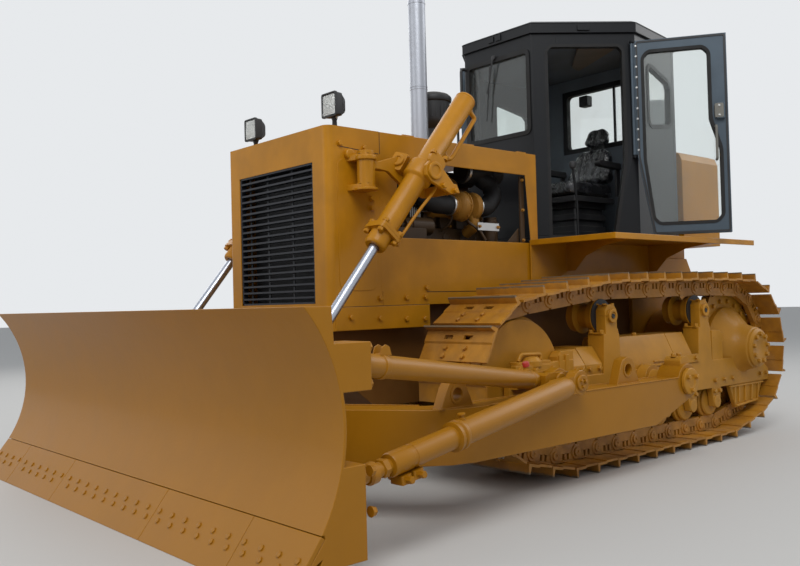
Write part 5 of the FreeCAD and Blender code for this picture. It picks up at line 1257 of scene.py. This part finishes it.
def cab_inside():
    """Mat, levers with knobs, pedals, dash dials, speaker box and the lining of the roof."""
    work = bmesh.new()
    add_prism(work, "Z", [(1300, -300), (1300, 300), (800, 690), (210, 640), (210, -640), (800, -690)],
              1470, 1478)
    piece("cab_mat", work, BLACK_PLASTIC, edge=2.0)
    work = bmesh.new()
    add_prism(work, "Z", [(1290, -290), (1290, 290), (780, 690), (190, 630), (190, -630), (780, -690)],
              2880, 2930)
    for y0, y1, z0, z1 in ((-640, -335, 1480, 2880), (335, 640, 1480, 2880), (-335, 335, 1480, 2250),
                           (-335, 335, 2785, 2880)):
        add_block(work, 177, 184, y0, y1, z0, z1)
    for side in SIDES:
        corners = [mm(x, side * (652 + (x - 200) * 0.1346), z) for x,
                   z in ((200, 1490), (760, 1490), (760, 2240), (200, 2240))]
        add_slab(work, rounded(corners, 0.03), Vector((0.1334, -side * 0.991, 0)) * 0.006)
    piece("cab_lining", work, LINING, edge=2.0)
    work = bmesh.new()
    add_prism(work, "Z", [(430, 30), (560, 60), (940, 400), (720, 580)], 2858, 2881, 40)
    piece("ceiling_panel", work, CEILING, edge=3.0)
    work = bmesh.new()
    for x, y, lean, foot, knee, top in LEVERS:
        add_tube(work, [mm(x, y, foot), mm(x, y, knee), mm(x + lean, y, top)], 9, 12)
    piece("lever_rods", work, BLACK)
    work = bmesh.new()
    for x, y, lean, foot, knee, top in LEVERS:
        add_turned(work, mm(x + lean, y, top - 10), UP, ((0, 12), (8, 22), (30, 28), (48, 24), (56, 12)), 20)
    add_block(work, 150, 164, 164, 182, 2290, 2745)
    add_prism(work, "X", rect(-100, -15, 2612, 2700), 200, 262, 12)
    for y in (60, 190):
        add_prism(work, "X", rect(y - 45, y + 45, 1560, 1640), 1130, 1144, 12)
        add_tube(work, [mm(1137, y, 1600), mm(1180, y, 1600)], 10, 10)
    piece("knobs_and_pedals", work, BLACK_PLASTIC)
    work = bmesh.new()
    slope = Vector((-110, 0, 70)).normalized()
    for y in (-180, -60, 60, 180):
        add_turned(work, mm(1216, y, 2068), slope, ((-4, 40), (4, 40), (6, 36), (3, 34)), 28)
    piece("dials", work, CLAMP_STEEL)


cab_seals()
door_fittings()
cab_trim()
cab_inside()


# Engine bay and what stands on the engine cover
TURBO = (330.0, 1640.0)
STACK_X, STACK_Y = 2270.0, 100.0
CLEANER_X, CLEANER_FINS = 2050.0, 24
EXHAUST_PORTS = [1880 + 88 * i for i in range(6)]


def turbocharger():
    """Compressor and turbine housings with their scrolls, clamps and the pipes that leave them."""
    y, z = TURBO
    work = bmesh.new()
    add_turned(work, mm(2000, y, z), AHEAD, ((0, 52), (4, 66), (10, 66), (12, 78), (22, 92), (44, 96),
            (60, 88), (66, 66), (70, 48), (78, 42), (90, 42), (92, 52), (100, 52), (102, 42), (112, 42),
            (118, 60), (124, 84), (126, 100), (134, 100), (136, 92), (150, 96), (176, 92), (192, 78),
            (198, 66), (206, 66), (208, 60), (236, 60), (240, 56)), 40)
    add_tube(work, [mm(2036, y + 10, z - 60), mm(2036, y + 20, z - 130), mm(2036, y - 60, z - 170)], 36, 20)
    add_tube(work, [mm(2160, y - 20, z + 62), mm(2160, y - 60, z + 110), mm(2100, 228, z + 150),
                    mm(2270, 130, 1880), mm(STACK_X, STACK_Y, 1930), mm(STACK_X, STACK_Y, 1989)], 36, 20)
    add_tube(work, [mm(1860, 226, z - 30), mm(2340, 226, z - 30)], 38, 20)
    for x in EXHAUST_PORTS:
        add_tube(work, [mm(x, 226, z - 30), mm(x, 200, z + 20), mm(x, 150, z + 24)], 24, 14, 0.03)
        add_prism(work, "Y", rect(x - 36, x + 36, z - 8, z + 56), 186, 198, 10)
    piece("turbo_castings", work, CASTING, stands_for=("turbocharger",), edge=1.0)
    marks = circle_marks(mm(2132, y, z), AHEAD, 92, 8) + circle_marks(mm(2008, y, z), AHEAD, 60, 6)
    marks += [(mm(x + d, 199, z + h), LEFT) for x in EXHAUST_PORTS for d, h in ((-26, 48), (26, 0))]
    bolts("turbo_bolts", marks, CASTING, "tractor", 15, 9)
    work = bmesh.new()
    for x, r in ((2234, 64), (1985, 65)):
        add_turned(work, mm(x, y, z), AHEAD, ((0, r - 2), (0, r), (3, r + 3), (11, r + 3), (14, r),
                (14, r - 2)), 36)
    add_turned(work, mm(1700, 250, 1890), AHEAD, ((316, 79), (318, 82), (334, 82), (336, 79)), 36)
    add_block(work, 1890, 2090, 428, 434, 1478, 1528)
    piece("bay_clamps", work, CLAMP_STEEL, edge=1.0)


def bay_pipes():
    """Injector lines, drain and supply pipes, filters and brackets on the engine's sides."""
    work = bmesh.new()
    for i in range(6):
        x = 1850 + 165 * i
        for side in SIDES:
            add_tube(work, [mm(2440 + 16 * i, side * 262, 1560), mm(2440 + 16 * i, side * 262, 1600 + 12 * i),
                            mm(x, side * 214, 1622 + 12 * i), mm(x, side * 150, 1706)], 5, 8, 0.03)
    piece("injector_lines", work, STEEL)
    work = bmesh.new()
    add_tube(work, [mm(2100, 330, 1600), mm(2104, 352, 1540), mm(2060, 420, 1480), mm(2030, 440, 1412)], 9,
             12)
    add_tube(work, [mm(2096, 330, 1690), mm(2096, 352, 1730), mm(2180, 352, 1730), mm(2210, 300, 1520),
                    mm(2240, 240, 1480)], 7, 12)
    for side in SIDES:
        add_turned(work, mm(2380, side * 285, 1500), AHEAD, ((0, 40), (4, 56), (180, 56), (186, 48),
                (230, 48), (234, 30), (260, 30)), 28)
        add_turned(work, mm(1830, side * 300, 1405), UP, ((0, 30), (6, 50), (150, 50), (156, 44),
                (176, 44)), 28)
        add_prism(work, "Y", [(1700, 1400), (1742, 1400), (1742, 1846), (1700, 1846)], side * 486 - 6, side
                  * 486 + 6)
        add_prism(work, "Y", [(1742, 1400), (1860, 1400), (1742, 1500)], side * 470 - 4, side * 470 + 4)
        add_prism(work, "Y", rect(2560, 2830, 1402, 1470), side * 430 - 20, side * 430 + 20, 14)
        for x in range(1830, 2780, 150):
            add_prism(work, "Y", rect(x, x + 96, 1504, 1588), side * 212 - 24, side * 212 + 12, 12)
            add_turned(work, mm(x + 48, side * 222, 1440), (0, side, 0),
                       ((0, 34), (14, 34), (16, 28), (16, 14)), 20)
    piece("engine_fittings", work, ENGINE_DARK, edge=2.0)
    marks = [(mm(1720, side * 493, z), (0, side, 0)) for z in (1420, 1620, 1820) for side in SIDES]
    marks += [(mm(x, side * 225, z), (0, side, 0)) for x in range(1842, 2780, 150) for z in (1516, 1576)
              for side in SIDES]
    marks += [(mm(x, 435, 1503), LEFT) for x in (1902, 2078)]
    bolts("engine_bolts", marks, CASTING, "tractor", 17, 10)
    work = bmesh.new()
    add_tube(work, [mm(2240, 330, 1640), mm(2400, 330, 1640), mm(2520, 262, 1735), mm(2640, 180, 1775),
                    mm(2760, 120, 1800)], 59, 28, 0.12)
    add_tube(work, [mm(2000, 330, 1640), mm(1905, 330, 1640), mm(1825, 330, 1715), mm(1815, 300, 1800),
                    mm(1900, 250, 1870)], 61, 28, 0.09)
    add_turned(work, mm(1700, 250, 1890), AHEAD, ((0, 60), (6, 76), (12, 78), (110, 78), (114, 72),
            (124, 72), (128, 78), (340, 78), (348, 70)), 40)
    add_tube(work, [mm(1760, 60, 1862), mm(2050, 60, 1862), mm(2300, -60, 1862), mm(2820, -60, 1862)], 46,
             20, 0.1)
    piece("air_ducts", work, HOSE, stands_for=("engine_air",))


def stack_and_cleaner():
    """Exhaust stack with its bands and foot, ribbed bowl of the pre-cleaner, small parts on the hood."""
    work = bmesh.new()
    add_tube(work, [mm(STACK_X, STACK_Y, 2010), mm(STACK_X, STACK_Y, 3080), mm(2180, 100, 3186)], 56.5, 40,
             0.14)
    for z, r in ((2012, 61), (2420, 58.5), (2436, 58.5), (2990, 58.5)):
        add_turned(work, mm(STACK_X, STACK_Y, z), UP, ((0, r - 2), (1, r), (9, r), (10, r - 2)), 40)
    add_turned(work, mm(STACK_X, STACK_Y, HOOD_TOP), UP, ((0, 82), (12, 82), (14, 80), (14, 60)), 40)
    piece("stack_pipe", work, GALVANISED, stands_for=("exhaust_stack",))
    bolts("stack_bolts", circle_marks(mm(STACK_X, STACK_Y, 2011), UP, 70, 6), CLAMP_STEEL, "tractor", 16, 9)
    work = bmesh.new()
    add_turned(work, mm(CLEANER_X, 0, HOOD_TOP), UP, ((0, 76), (8, 76), (10, 56), (120, 56), (122, 60),
            (138, 60), (140, 56), (206, 58), (226, 80), (246, 104), (268, 112), (350, 116), (384, 118),
            (390, 128), (398, 131), (416, 131), (424, 127), (440, 110), (452, 74), (459, 40), (462, 12)),
               48)
    for i in range(CLEANER_FINS):
        turn = 2 * math.pi * i / CLEANER_FINS
        place = mm(CLEANER_X + 113 * math.cos(turn), 113 * math.sin(turn), 2272)
        add_slab(work, [place + Vector((math.sin(turn), -math.cos(turn), 0)) * d for d in (-0.004, 0.004)]
                 + [place + Vector((math.sin(turn + 0.02) * 0.004 + math.cos(turn) * 0.004,
                                    -math.cos(turn + 0.02) * 0.004 + math.sin(turn) * 0.004, 0))],
                 Vector((0, 0, 0.1)))
    piece("cleaner_bowl", work, BLACK_PLASTIC, stands_for=("precleaner",))
    work = bmesh.new()
    for x in (1690, 2190, 2700):
        for y in (-512, 498):
            add_block(work, x, x + 90, y, y + 14, HOOD_TOP, HOOD_TOP + 8)
    add_turned(work, mm(2850, 0, HOOD_TOP), UP, ((0, 62), (10, 62), (12, 54), (30, 54), (36, 48),
            (40, 20)), 32)
    piece("hood_fittings", work, YELLOW, edge=2.0)


turbocharger()
bay_pipes()
stack_and_cleaner()


# Track frames
def frame_details():
    """Covers' straps, idler bearing, roller caps, ribs of the rear guard, trunnion cap, bolts."""
    work = bmesh.new()
    add_prism(work, "Y", [(640, 566), (962, 566), (962, 600), (940, 622), (660, 622), (640, 600)], 1116,
              1130, 6)
    add_prism(work, "Y", rect(980, 1190, 572, 584), 1112, 1126)
    add_prism(work, "Y", rect(980, 1190, 596, 606), 1110, 1120)
    add_prism(work, "Y", [(2262, 544), (2588, 544), (2588, 640), (2560, 660), (2290, 660), (2262, 640)],
              1156, 1164, 12)
    add_prism(work, "Z", rect(2282, 2568, 1084, 1150), 667, 682, 14)
    add_turned(work, mm(2420, 1118, 682), UP, ((-30, 58), (0, 58), (6, 54), (22, 40), (26, 16)), 28)
    add_tube(work, [mm(2330, 1110, 684), mm(2330, 1110, 716), mm(2500, 1110, 722), mm(2520, 1110, 684)],
             11, 12)
    add_turned(work, mm(2360, 1162, 602), LEFT, ((0, 26), (8, 26), (10, 22), (10, 12)), 20)
    for x in (2100, 2160):
        add_prism(work, "Y", rect(x - 16, x + 16, 585, 700), 1112, 1124, 6)
    for x, z in CARRIERS:
        z -= CARRIER_DROP
        add_turned(work, mm(x, 1128, z), LEFT, ((0, 44), (8, 44), (12, 40), (12, 26), (6, 24)), 28)
        add_prism(work, "Y", [(x - 62, z + 2), (x + 62, z + 2), (x + 62, z + 8), (x - 62, z + 8)], 1052, 1124)
        add_prism(work, "Z", rect(x - 88, x + 88, 1006, 1114), 800, 810, 10)
        for y in (1042, 1100):
            for dx in (-40, 40):
                add_turned(work, mm(x + dx, y, z + 68), UP, ((0, 14), (8, 14), (10, 8)), 12)
    for x in (-208, -110, -12, 86, 150):
        lean = 38 - 0.14 * (x + 60)
        add_prism(work, "Y", [(x - 8, 362), (x + 8, 362), (x + lean * 0.3 + 8, 236),
                              (x + lean * 0.3 - 8, 236)], 1112, 1124)
    add_prism(work, "Y", [(219, 362), (-283, 362), (-283, 350), (219, 350)], 1110, 1126)
    add_prism(work, "Y", [(-186, 238), (132, 220), (132, 206), (-193, 224)], 1110, 1126)
    add_turned(work, mm(1320, 1449, 500), LEFT, ((0, 82), (2, 82), (6, 78), (8, 66), (8, 40), (4, 36)), 40)
    add_prism(work, "Y", [(1276, 575), (1364, 575), (1372, 628), (1350, 650), (1290, 650), (1268, 628)],
              1300, 1410, 10)
    for x in ROLLER_XS:
        for y in (794, 1100):
            add_turned(work, mm(x, y, 270), (0, 1 if y > 900 else -1, 0),
                       ((0, 46), (24, 46), (28, 40), (28, 24)), 24)
    both_sides("track_frame_fittings", work, TRACK_YELLOW, edge=2.0)
    marks = spread((700, 900), (1130,), (596,), LEFT)
    for x0, x1, top in ((715, 936, 772), (940, 1560, 772), (1750, 1915, 728), (1919, 2048, 722)):
        inset = 34 if x1 - x0 > 100 else 24
        for x in (x0 + inset, x1 - inset):
            marks.append((mm(x, 1112, 600), LEFT))
        if x1 - x0 > 300:
            marks.append((mm((x0 + x1) / 2, 1010, top), UP))
    marks += spread((2290, 2440, 2562), (1164,), (566, 636), LEFT)
    for x, z in CARRIERS:
        marks += spread((x - 74, x + 74), (1022, 1098), (810,), UP)
    marks += spread((1290, 1350), (1355,), (650,), UP)
    marks += circle_marks(mm(1320, 1457, 500), LEFT, 54, 3, 0.5)
    marks += spread((-330, -240, 180, 300, 430), (1120,), (420,), LEFT)
    for x in ROLLER_XS:
        marks += spread((x - 34, x + 34), (1120,), (345,), LEFT)
    bolts("track_frame_bolts", mirrored_too(marks), TRACK_YELLOW, "tractor", 26, 15)
    work = bmesh.new()
    for x, z in CARRIERS:
        add_turned(work, mm(x, 1134, z - CARRIER_DROP), LEFT, ((0, 16), (5, 16), (5, 12), (2, 10)), 6)
    both_sides("carrier_plugs", work, BLACK_PLASTIC)
    work = bmesh.new()
    for x, z in CARRIERS:
        for y in (893, 1041):
            add_turned(work, mm(x, y, z - CARRIER_DROP), LEFT, ((0, 96), (0, 106), (9, 106), (9, 96)), 36)
    both_sides("carrier_bands", work, BLACK_PLASTIC)


# Push frame and blade
LUG_XZ = (2508.0, 590.0)
BLADE_BACK = (4070.7, 791.0)
EDGE_JOINTS = (-1290, -560, 560, 1290)      # where the cutting edge's sections meet


def along_line(start, end, share):
    """Point at a share of the way from start to end."""
    return start + (end - start) * share


def upper_braces():
    """Round strut with a block and boss at the lug, a capped grease point and an eye bracket."""
    x, z = LUG_XZ
    work = bmesh.new()
    start, end = mm(x + 150, 1352.5, z + 14), mm(BLADE_BACK[0] - 12, 1640, BLADE_BACK[1])
    length = (end - start).length * 1000
    way = end - start
    add_turned(work, start, way, ((0, 20), (0, 38), (30, 40), (44, 45), (60, 47), (74, 47), (76, 50),
            (92, 50), (94, 47), (length - 150, 47), (length - 148, 52), (length - 120, 52),
            (length - 118, 47), (length - 20, 47), (length, 47)), 40)
    for y0, y1, r in ((1258.5, 1318.5, 56), (1386.5, 1434.5, 56)):
        outline = [(x + r * math.sin(t), z + r * math.cos(t)) for t in [math.pi + math.pi * i / 10
                for i in range(11)]]
        outline += [(x + 150, z + 54), (x + 172, z + 36), (x + 172, z - 28), (x + 150, z - 32)]
        add_prism(work, "Y", outline, y0, y1)
    add_prism(work, "Y", [(x + 122, z - 32), (x + 178, z - 26), (x + 178, z + 44), (x + 150, z + 54),
                          (x + 122, z + 54)], 1258.5, 1434.5)
    add_turned(work, mm(x + 62, 1434, z + 14), LEFT, ((0, 40), (10, 40), (14, 36)), 28)
    add_turned(work, mm(x, 1244.5, z), LEFT, ((0, 32), (278, 32)), 28)
    add_turned(work, mm(x, 1522, z), LEFT, ((0, 42), (8, 42), (12, 38), (12, 22), (8, 20)), 32)
    lift = Vector(UP)
    base = along_line(start, end, 0.075)
    add_turned(work, base + lift * 0.040, lift, ((0, 22), (10, 22), (12, 15), (26, 15)), 20)
    place = along_line(start, end, 0.90) + lift * 0.044
    for d in (-0.022, 0.022):
        add_slab(work, [place + Vector((u, d, v)) for u, v in ((-0.03, 0), (0.03, 0), (0.02, 0.034),
                (0, 0.044), (-0.02, 0.034))], Vector((0, 0.008, 0)))
    both_sides("upper_braces_turned", work, BLADE_YELLOW_SHADED, "blade_frame", 1.5, ("upper_braces",), 40)
    work = bmesh.new()
    add_turned(work, base + lift * 0.066, Vector((0.3, 0, 1)), ((0, 12), (2, 18), (20, 18), (26, 14),
            (28, 6)), 20)
    both_sides("grease_caps", work, RED_PLASTIC, "blade_frame")
    marks = circle_marks(mm(x, 1534, z), LEFT, 20, 3, 0.4)
    bolts("brace_pin_bolts", mirrored_too(marks), BLADE_YELLOW_SHADED, "blade_frame", 15, 8)


def lower_braces():
    """Telescoping strut: eye, barrel with end ring, clamped sleeve with two bolts, nut and screw."""
    x, z = LUG_XZ
    work = bmesh.new()
    start, end = mm(x, 1492, z), mm(4100.7, 1650, 355)
    way = end - start
    full = way.length * 1000
    add_turned(work, start, way, ((0.05 * full, 20), (0.05 * full, 40), (0.065 * full, 50),
            (0.085 * full, 57), (0.595 * full, 57), (0.600 * full, 64), (0.603 * full, 67),
            (0.612 * full, 67), (0.615 * full, 61), (0.620 * full, 61), (0.624 * full, 66),
            (0.634 * full, 66), (0.637 * full, 50), (0.80 * full, 50), (0.802 * full, 47),
            (0.812 * full, 47), (0.814 * full, 50), (0.878 * full, 50), (0.882 * full, 46),
            (0.884 * full, 30), (0.90 * full, 30), (0.98 * full, 30)), 40)
    add_turned(work, along_line(start, end, 0.895), way, ((0, 30), (0, 40), (26, 40), (30, 34), (30, 28)), 6)
    add_turned(work, along_line(start, end, 0.935), way, ((0, 26), (0, 44), (34, 44), (44, 36)), 28)
    add_turned(work, mm(x, 1462, z), LEFT, ((0, 58), (2, 64), (56, 64), (60, 60)), 36)
    outline = [(x + 10, z - 56), (x + 195, z - 52), (x + 195, z + 22), (x + 50, z + 34)]
    add_prism(work, "Y", outline, 1464, 1520, 12)
    below = (way.normalized().cross(Vector(LEFT))).normalized()
    below = below if below.z < 0 else -below
    for share in (0.80, 0.845):
        place = along_line(start, end, share) + below * 0.052
        corners = [place + way.normalized() * a + Vector((0, b, 0)) for a,
                   b in ((-0.03, -0.04), (0.03, -0.04), (0.03, 0.04), (-0.03, 0.04))]
        add_slab(work, rounded(corners, 0.01), below * 0.036)
    base = along_line(start, end, 0.585) - below * 0.055
    add_turned(work, base, -below, ((0, 16), (8, 16), (10, 11), (20, 11), (24, 18), (30, 18), (32, 10)), 18)
    both_sides("lower_braces_turned", work, BLADE_YELLOW_SHADED, "blade_frame", 0.0, ("lower_braces",), 38)
    marks = []
    for share in (0.80, 0.845):
        for d in (-1, 1):
            place = along_line(start, end, share) + below * 0.070 + Vector((0, d * 0.040, 0))
            marks.append((place, Vector((0, d, 0))))
    bolts("brace_clamp_bolts", mirrored_too(marks), BLADE_YELLOW_SHADED, "blade_frame", 28, 26)


def blade_details():
    """Weld beads, box seams and bolts on the blade's rear, its edge plates and the push frame."""
    paths = []
    for side in SIDES:
        for y in (1275, 1430):
            paths.append([mm(x, side * y, 529) for x in (1430, 2300, 3100)])
        for x, z in ((1884, 610), (2508, 590), (3269, 590)):
            for y in (1322.5, 1382.5):
                paths.append([mm(x - 112, side * y, 529), mm(x + 112, side * y, 529)])
        paths += [[mm(x, side * y, 529) for x in (3614, 3845)] for y in (676, 794)]
        paths.append([mm(x, side * y, 529) for x, y in ((3812, 140), (3650, 660), (3330, 1180))])
    weld("push_frame_welds", paths, BLADE_YELLOW_SHADED, "blade_frame", 9)
    marks = []
    for side in SIDES:
        for y, z in ((1580, 722), (1700, 722), (1580, 860), (1700, 860), (1580, 242), (1580, 395),
                     (1706, 242), (1706, 395)):
            marks.append((mm(4069, side * y, z), (-1, 0, 0)))
    bolts("blade_pad_bolts", marks, BLADE_YELLOW_SHADED, "blade_frame", 32, 18)
    marks = [(mm(4398.2 + slope, y, 101.5 - slope * 1.293), (0.791, 0, 0.612))
             for slope in (-14, 12) for y in range(-1680 + 28 * (slope > 0), 1690, 120)
             if min(abs(y - joint) for joint in EDGE_JOINTS) > 22]
    bolts("plow_bolts", marks, BLADE_YELLOW_SHADED, "blade_frame", 24, 5)
    work = bmesh.new()
    for side in SIDES:
        for x, z in ((1884, 610), (3269, 590)):
            for y in (1320, 1382.5):
                add_turned(work, mm(x, side * y, z), (0, side, 0), ((0, 46), (3, 46), (3, 33), (0, 33)),
                           32, True)
    piece("lug_rings", work, BLADE_YELLOW_SHADED, "blade_frame")
    work = bmesh.new()
    add_turned(work, mm(3990, 0, 400), AHEAD, ((0, 112), (14, 112), (20, 104), (30, 104)), 40)
    piece("ball_cup_ring", work, BLADE_YELLOW_SHADED, "blade_frame")
    bolts("ball_cup_bolts", circle_marks(mm(4020, 0, 400), AHEAD, 90, 8), BLADE_YELLOW_SHADED, "blade_frame", 22, 12)


frame_details()
upper_braces()
lower_braces()
blade_details()


# Floor, light and camera
LIGHTS_AIM = (0, 0, 1)
BACKDROP, SKY, SKY_STRENGTH = (0.80, 0.82, 0.84, 1), (0.78, 0.84, 0.92, 1), 0.46
LAMPS = (("key", (5.5, 6.0, 9.0), 620.0, 6.0), ("fill", (9.0, -3.0, 5.0), 150.0, 6.0),
         ("back", (-8.0, 4.0, 7.0), 260.0, 6.0), ("right", (-1.0, -9.0, 7.0), 260.0, 6.0))
FLOOR_HALF = 60
YAW, PITCH_DOWN, ROLL = 48.593, 1.344, -1.465       # of the camera, in degrees
FOCAL_PIXELS, PHOTO_PIXELS, SENSOR = 858.2, 800, 36.0
EYE = (6.1142, 4.2241, 1.0219)


def stage():
    """A pale floor."""
    work = bmesh.new()
    add_slab(work, [Vector((x * FLOOR_HALF, y * FLOOR_HALF, 0)) for x,
                    y in ((-1, -1), (1, -1), (1, 1), (-1, 1))], Vector((0, 0, -0.02)))
    mesh = mesh_of("floor", work)
    f = Finish("floor")
    mesh.materials.append(f.surface(colour(196, 194, 190), 0.75))
    floor = bpy.data.objects.new("floor", mesh)
    bpy.context.scene.collection.objects.link(floor)


def lights():
    """A pale sky that the camera, gloss and glass see brighter, and four broad lamps."""
    world = bpy.data.worlds.new("sky")
    world.use_nodes = True
    bpy.context.scene.world = world
    nodes, links = world.node_tree.nodes, world.node_tree.links
    background = nodes["Background"]
    path = nodes.new("ShaderNodeLightPath")
    plain = nodes.new("ShaderNodeBackground")
    plain.inputs[0].default_value = BACKDROP
    background.inputs[0].default_value = SKY
    background.inputs[1].default_value = SKY_STRENGTH
    mix = nodes.new("ShaderNodeMixShader")
    seen = path.outputs["Is Camera Ray"]
    for ray in ("Is Glossy Ray", "Is Transmission Ray"):
        either = nodes.new("ShaderNodeMath")
        either.operation = "MAXIMUM"
        links.new(seen, either.inputs[0])
        links.new(path.outputs[ray], either.inputs[1])
        seen = either.outputs[0]
    links.new(seen, mix.inputs[0])
    links.new(background.outputs[0], mix.inputs[1])
    links.new(plain.outputs[0], mix.inputs[2])
    links.new(mix.outputs[0], nodes["World Output"].inputs[0])
    for name, place, energy, size in LAMPS:
        lamp = bpy.data.lights.new(name, "AREA")
        lamp.energy, lamp.size = energy, size
        holder = bpy.data.objects.new(name, lamp)
        holder.location = place
        holder.rotation_mode = "QUATERNION"
        holder.rotation_quaternion = (Vector(LIGHTS_AIM) - Vector(place)).to_track_quat("-Z", "Y")
        bpy.context.scene.collection.objects.link(holder)


def camera():
    """The photograph's angle: a level view from the left front corner, a little rolled."""
    yaw, pitch, roll = math.radians(YAW), math.radians(PITCH_DOWN), math.radians(ROLL)
    back = Vector((math.cos(yaw) * math.cos(pitch), math.sin(yaw) * math.cos(pitch), -math.sin(pitch)))
    lens = bpy.data.cameras.new("camera")
    lens.sensor_width, lens.lens = SENSOR, FOCAL_PIXELS / PHOTO_PIXELS * SENSOR
    eye = bpy.data.objects.new("camera", lens)
    eye.location = (EYE[0] - AXLE, EYE[1], EYE[2])
    eye.rotation_mode = "QUATERNION"
    level = (-back).to_track_quat("-Z", "Y")
    eye.rotation_quaternion = level @ Matrix.Rotation(roll, 4, "Z").to_quaternion()
    bpy.context.scene.collection.objects.link(eye)
    bpy.context.scene.camera = eye


stage()
lights()
camera()
bpy.context.scene.view_settings.view_transform = "Standard"
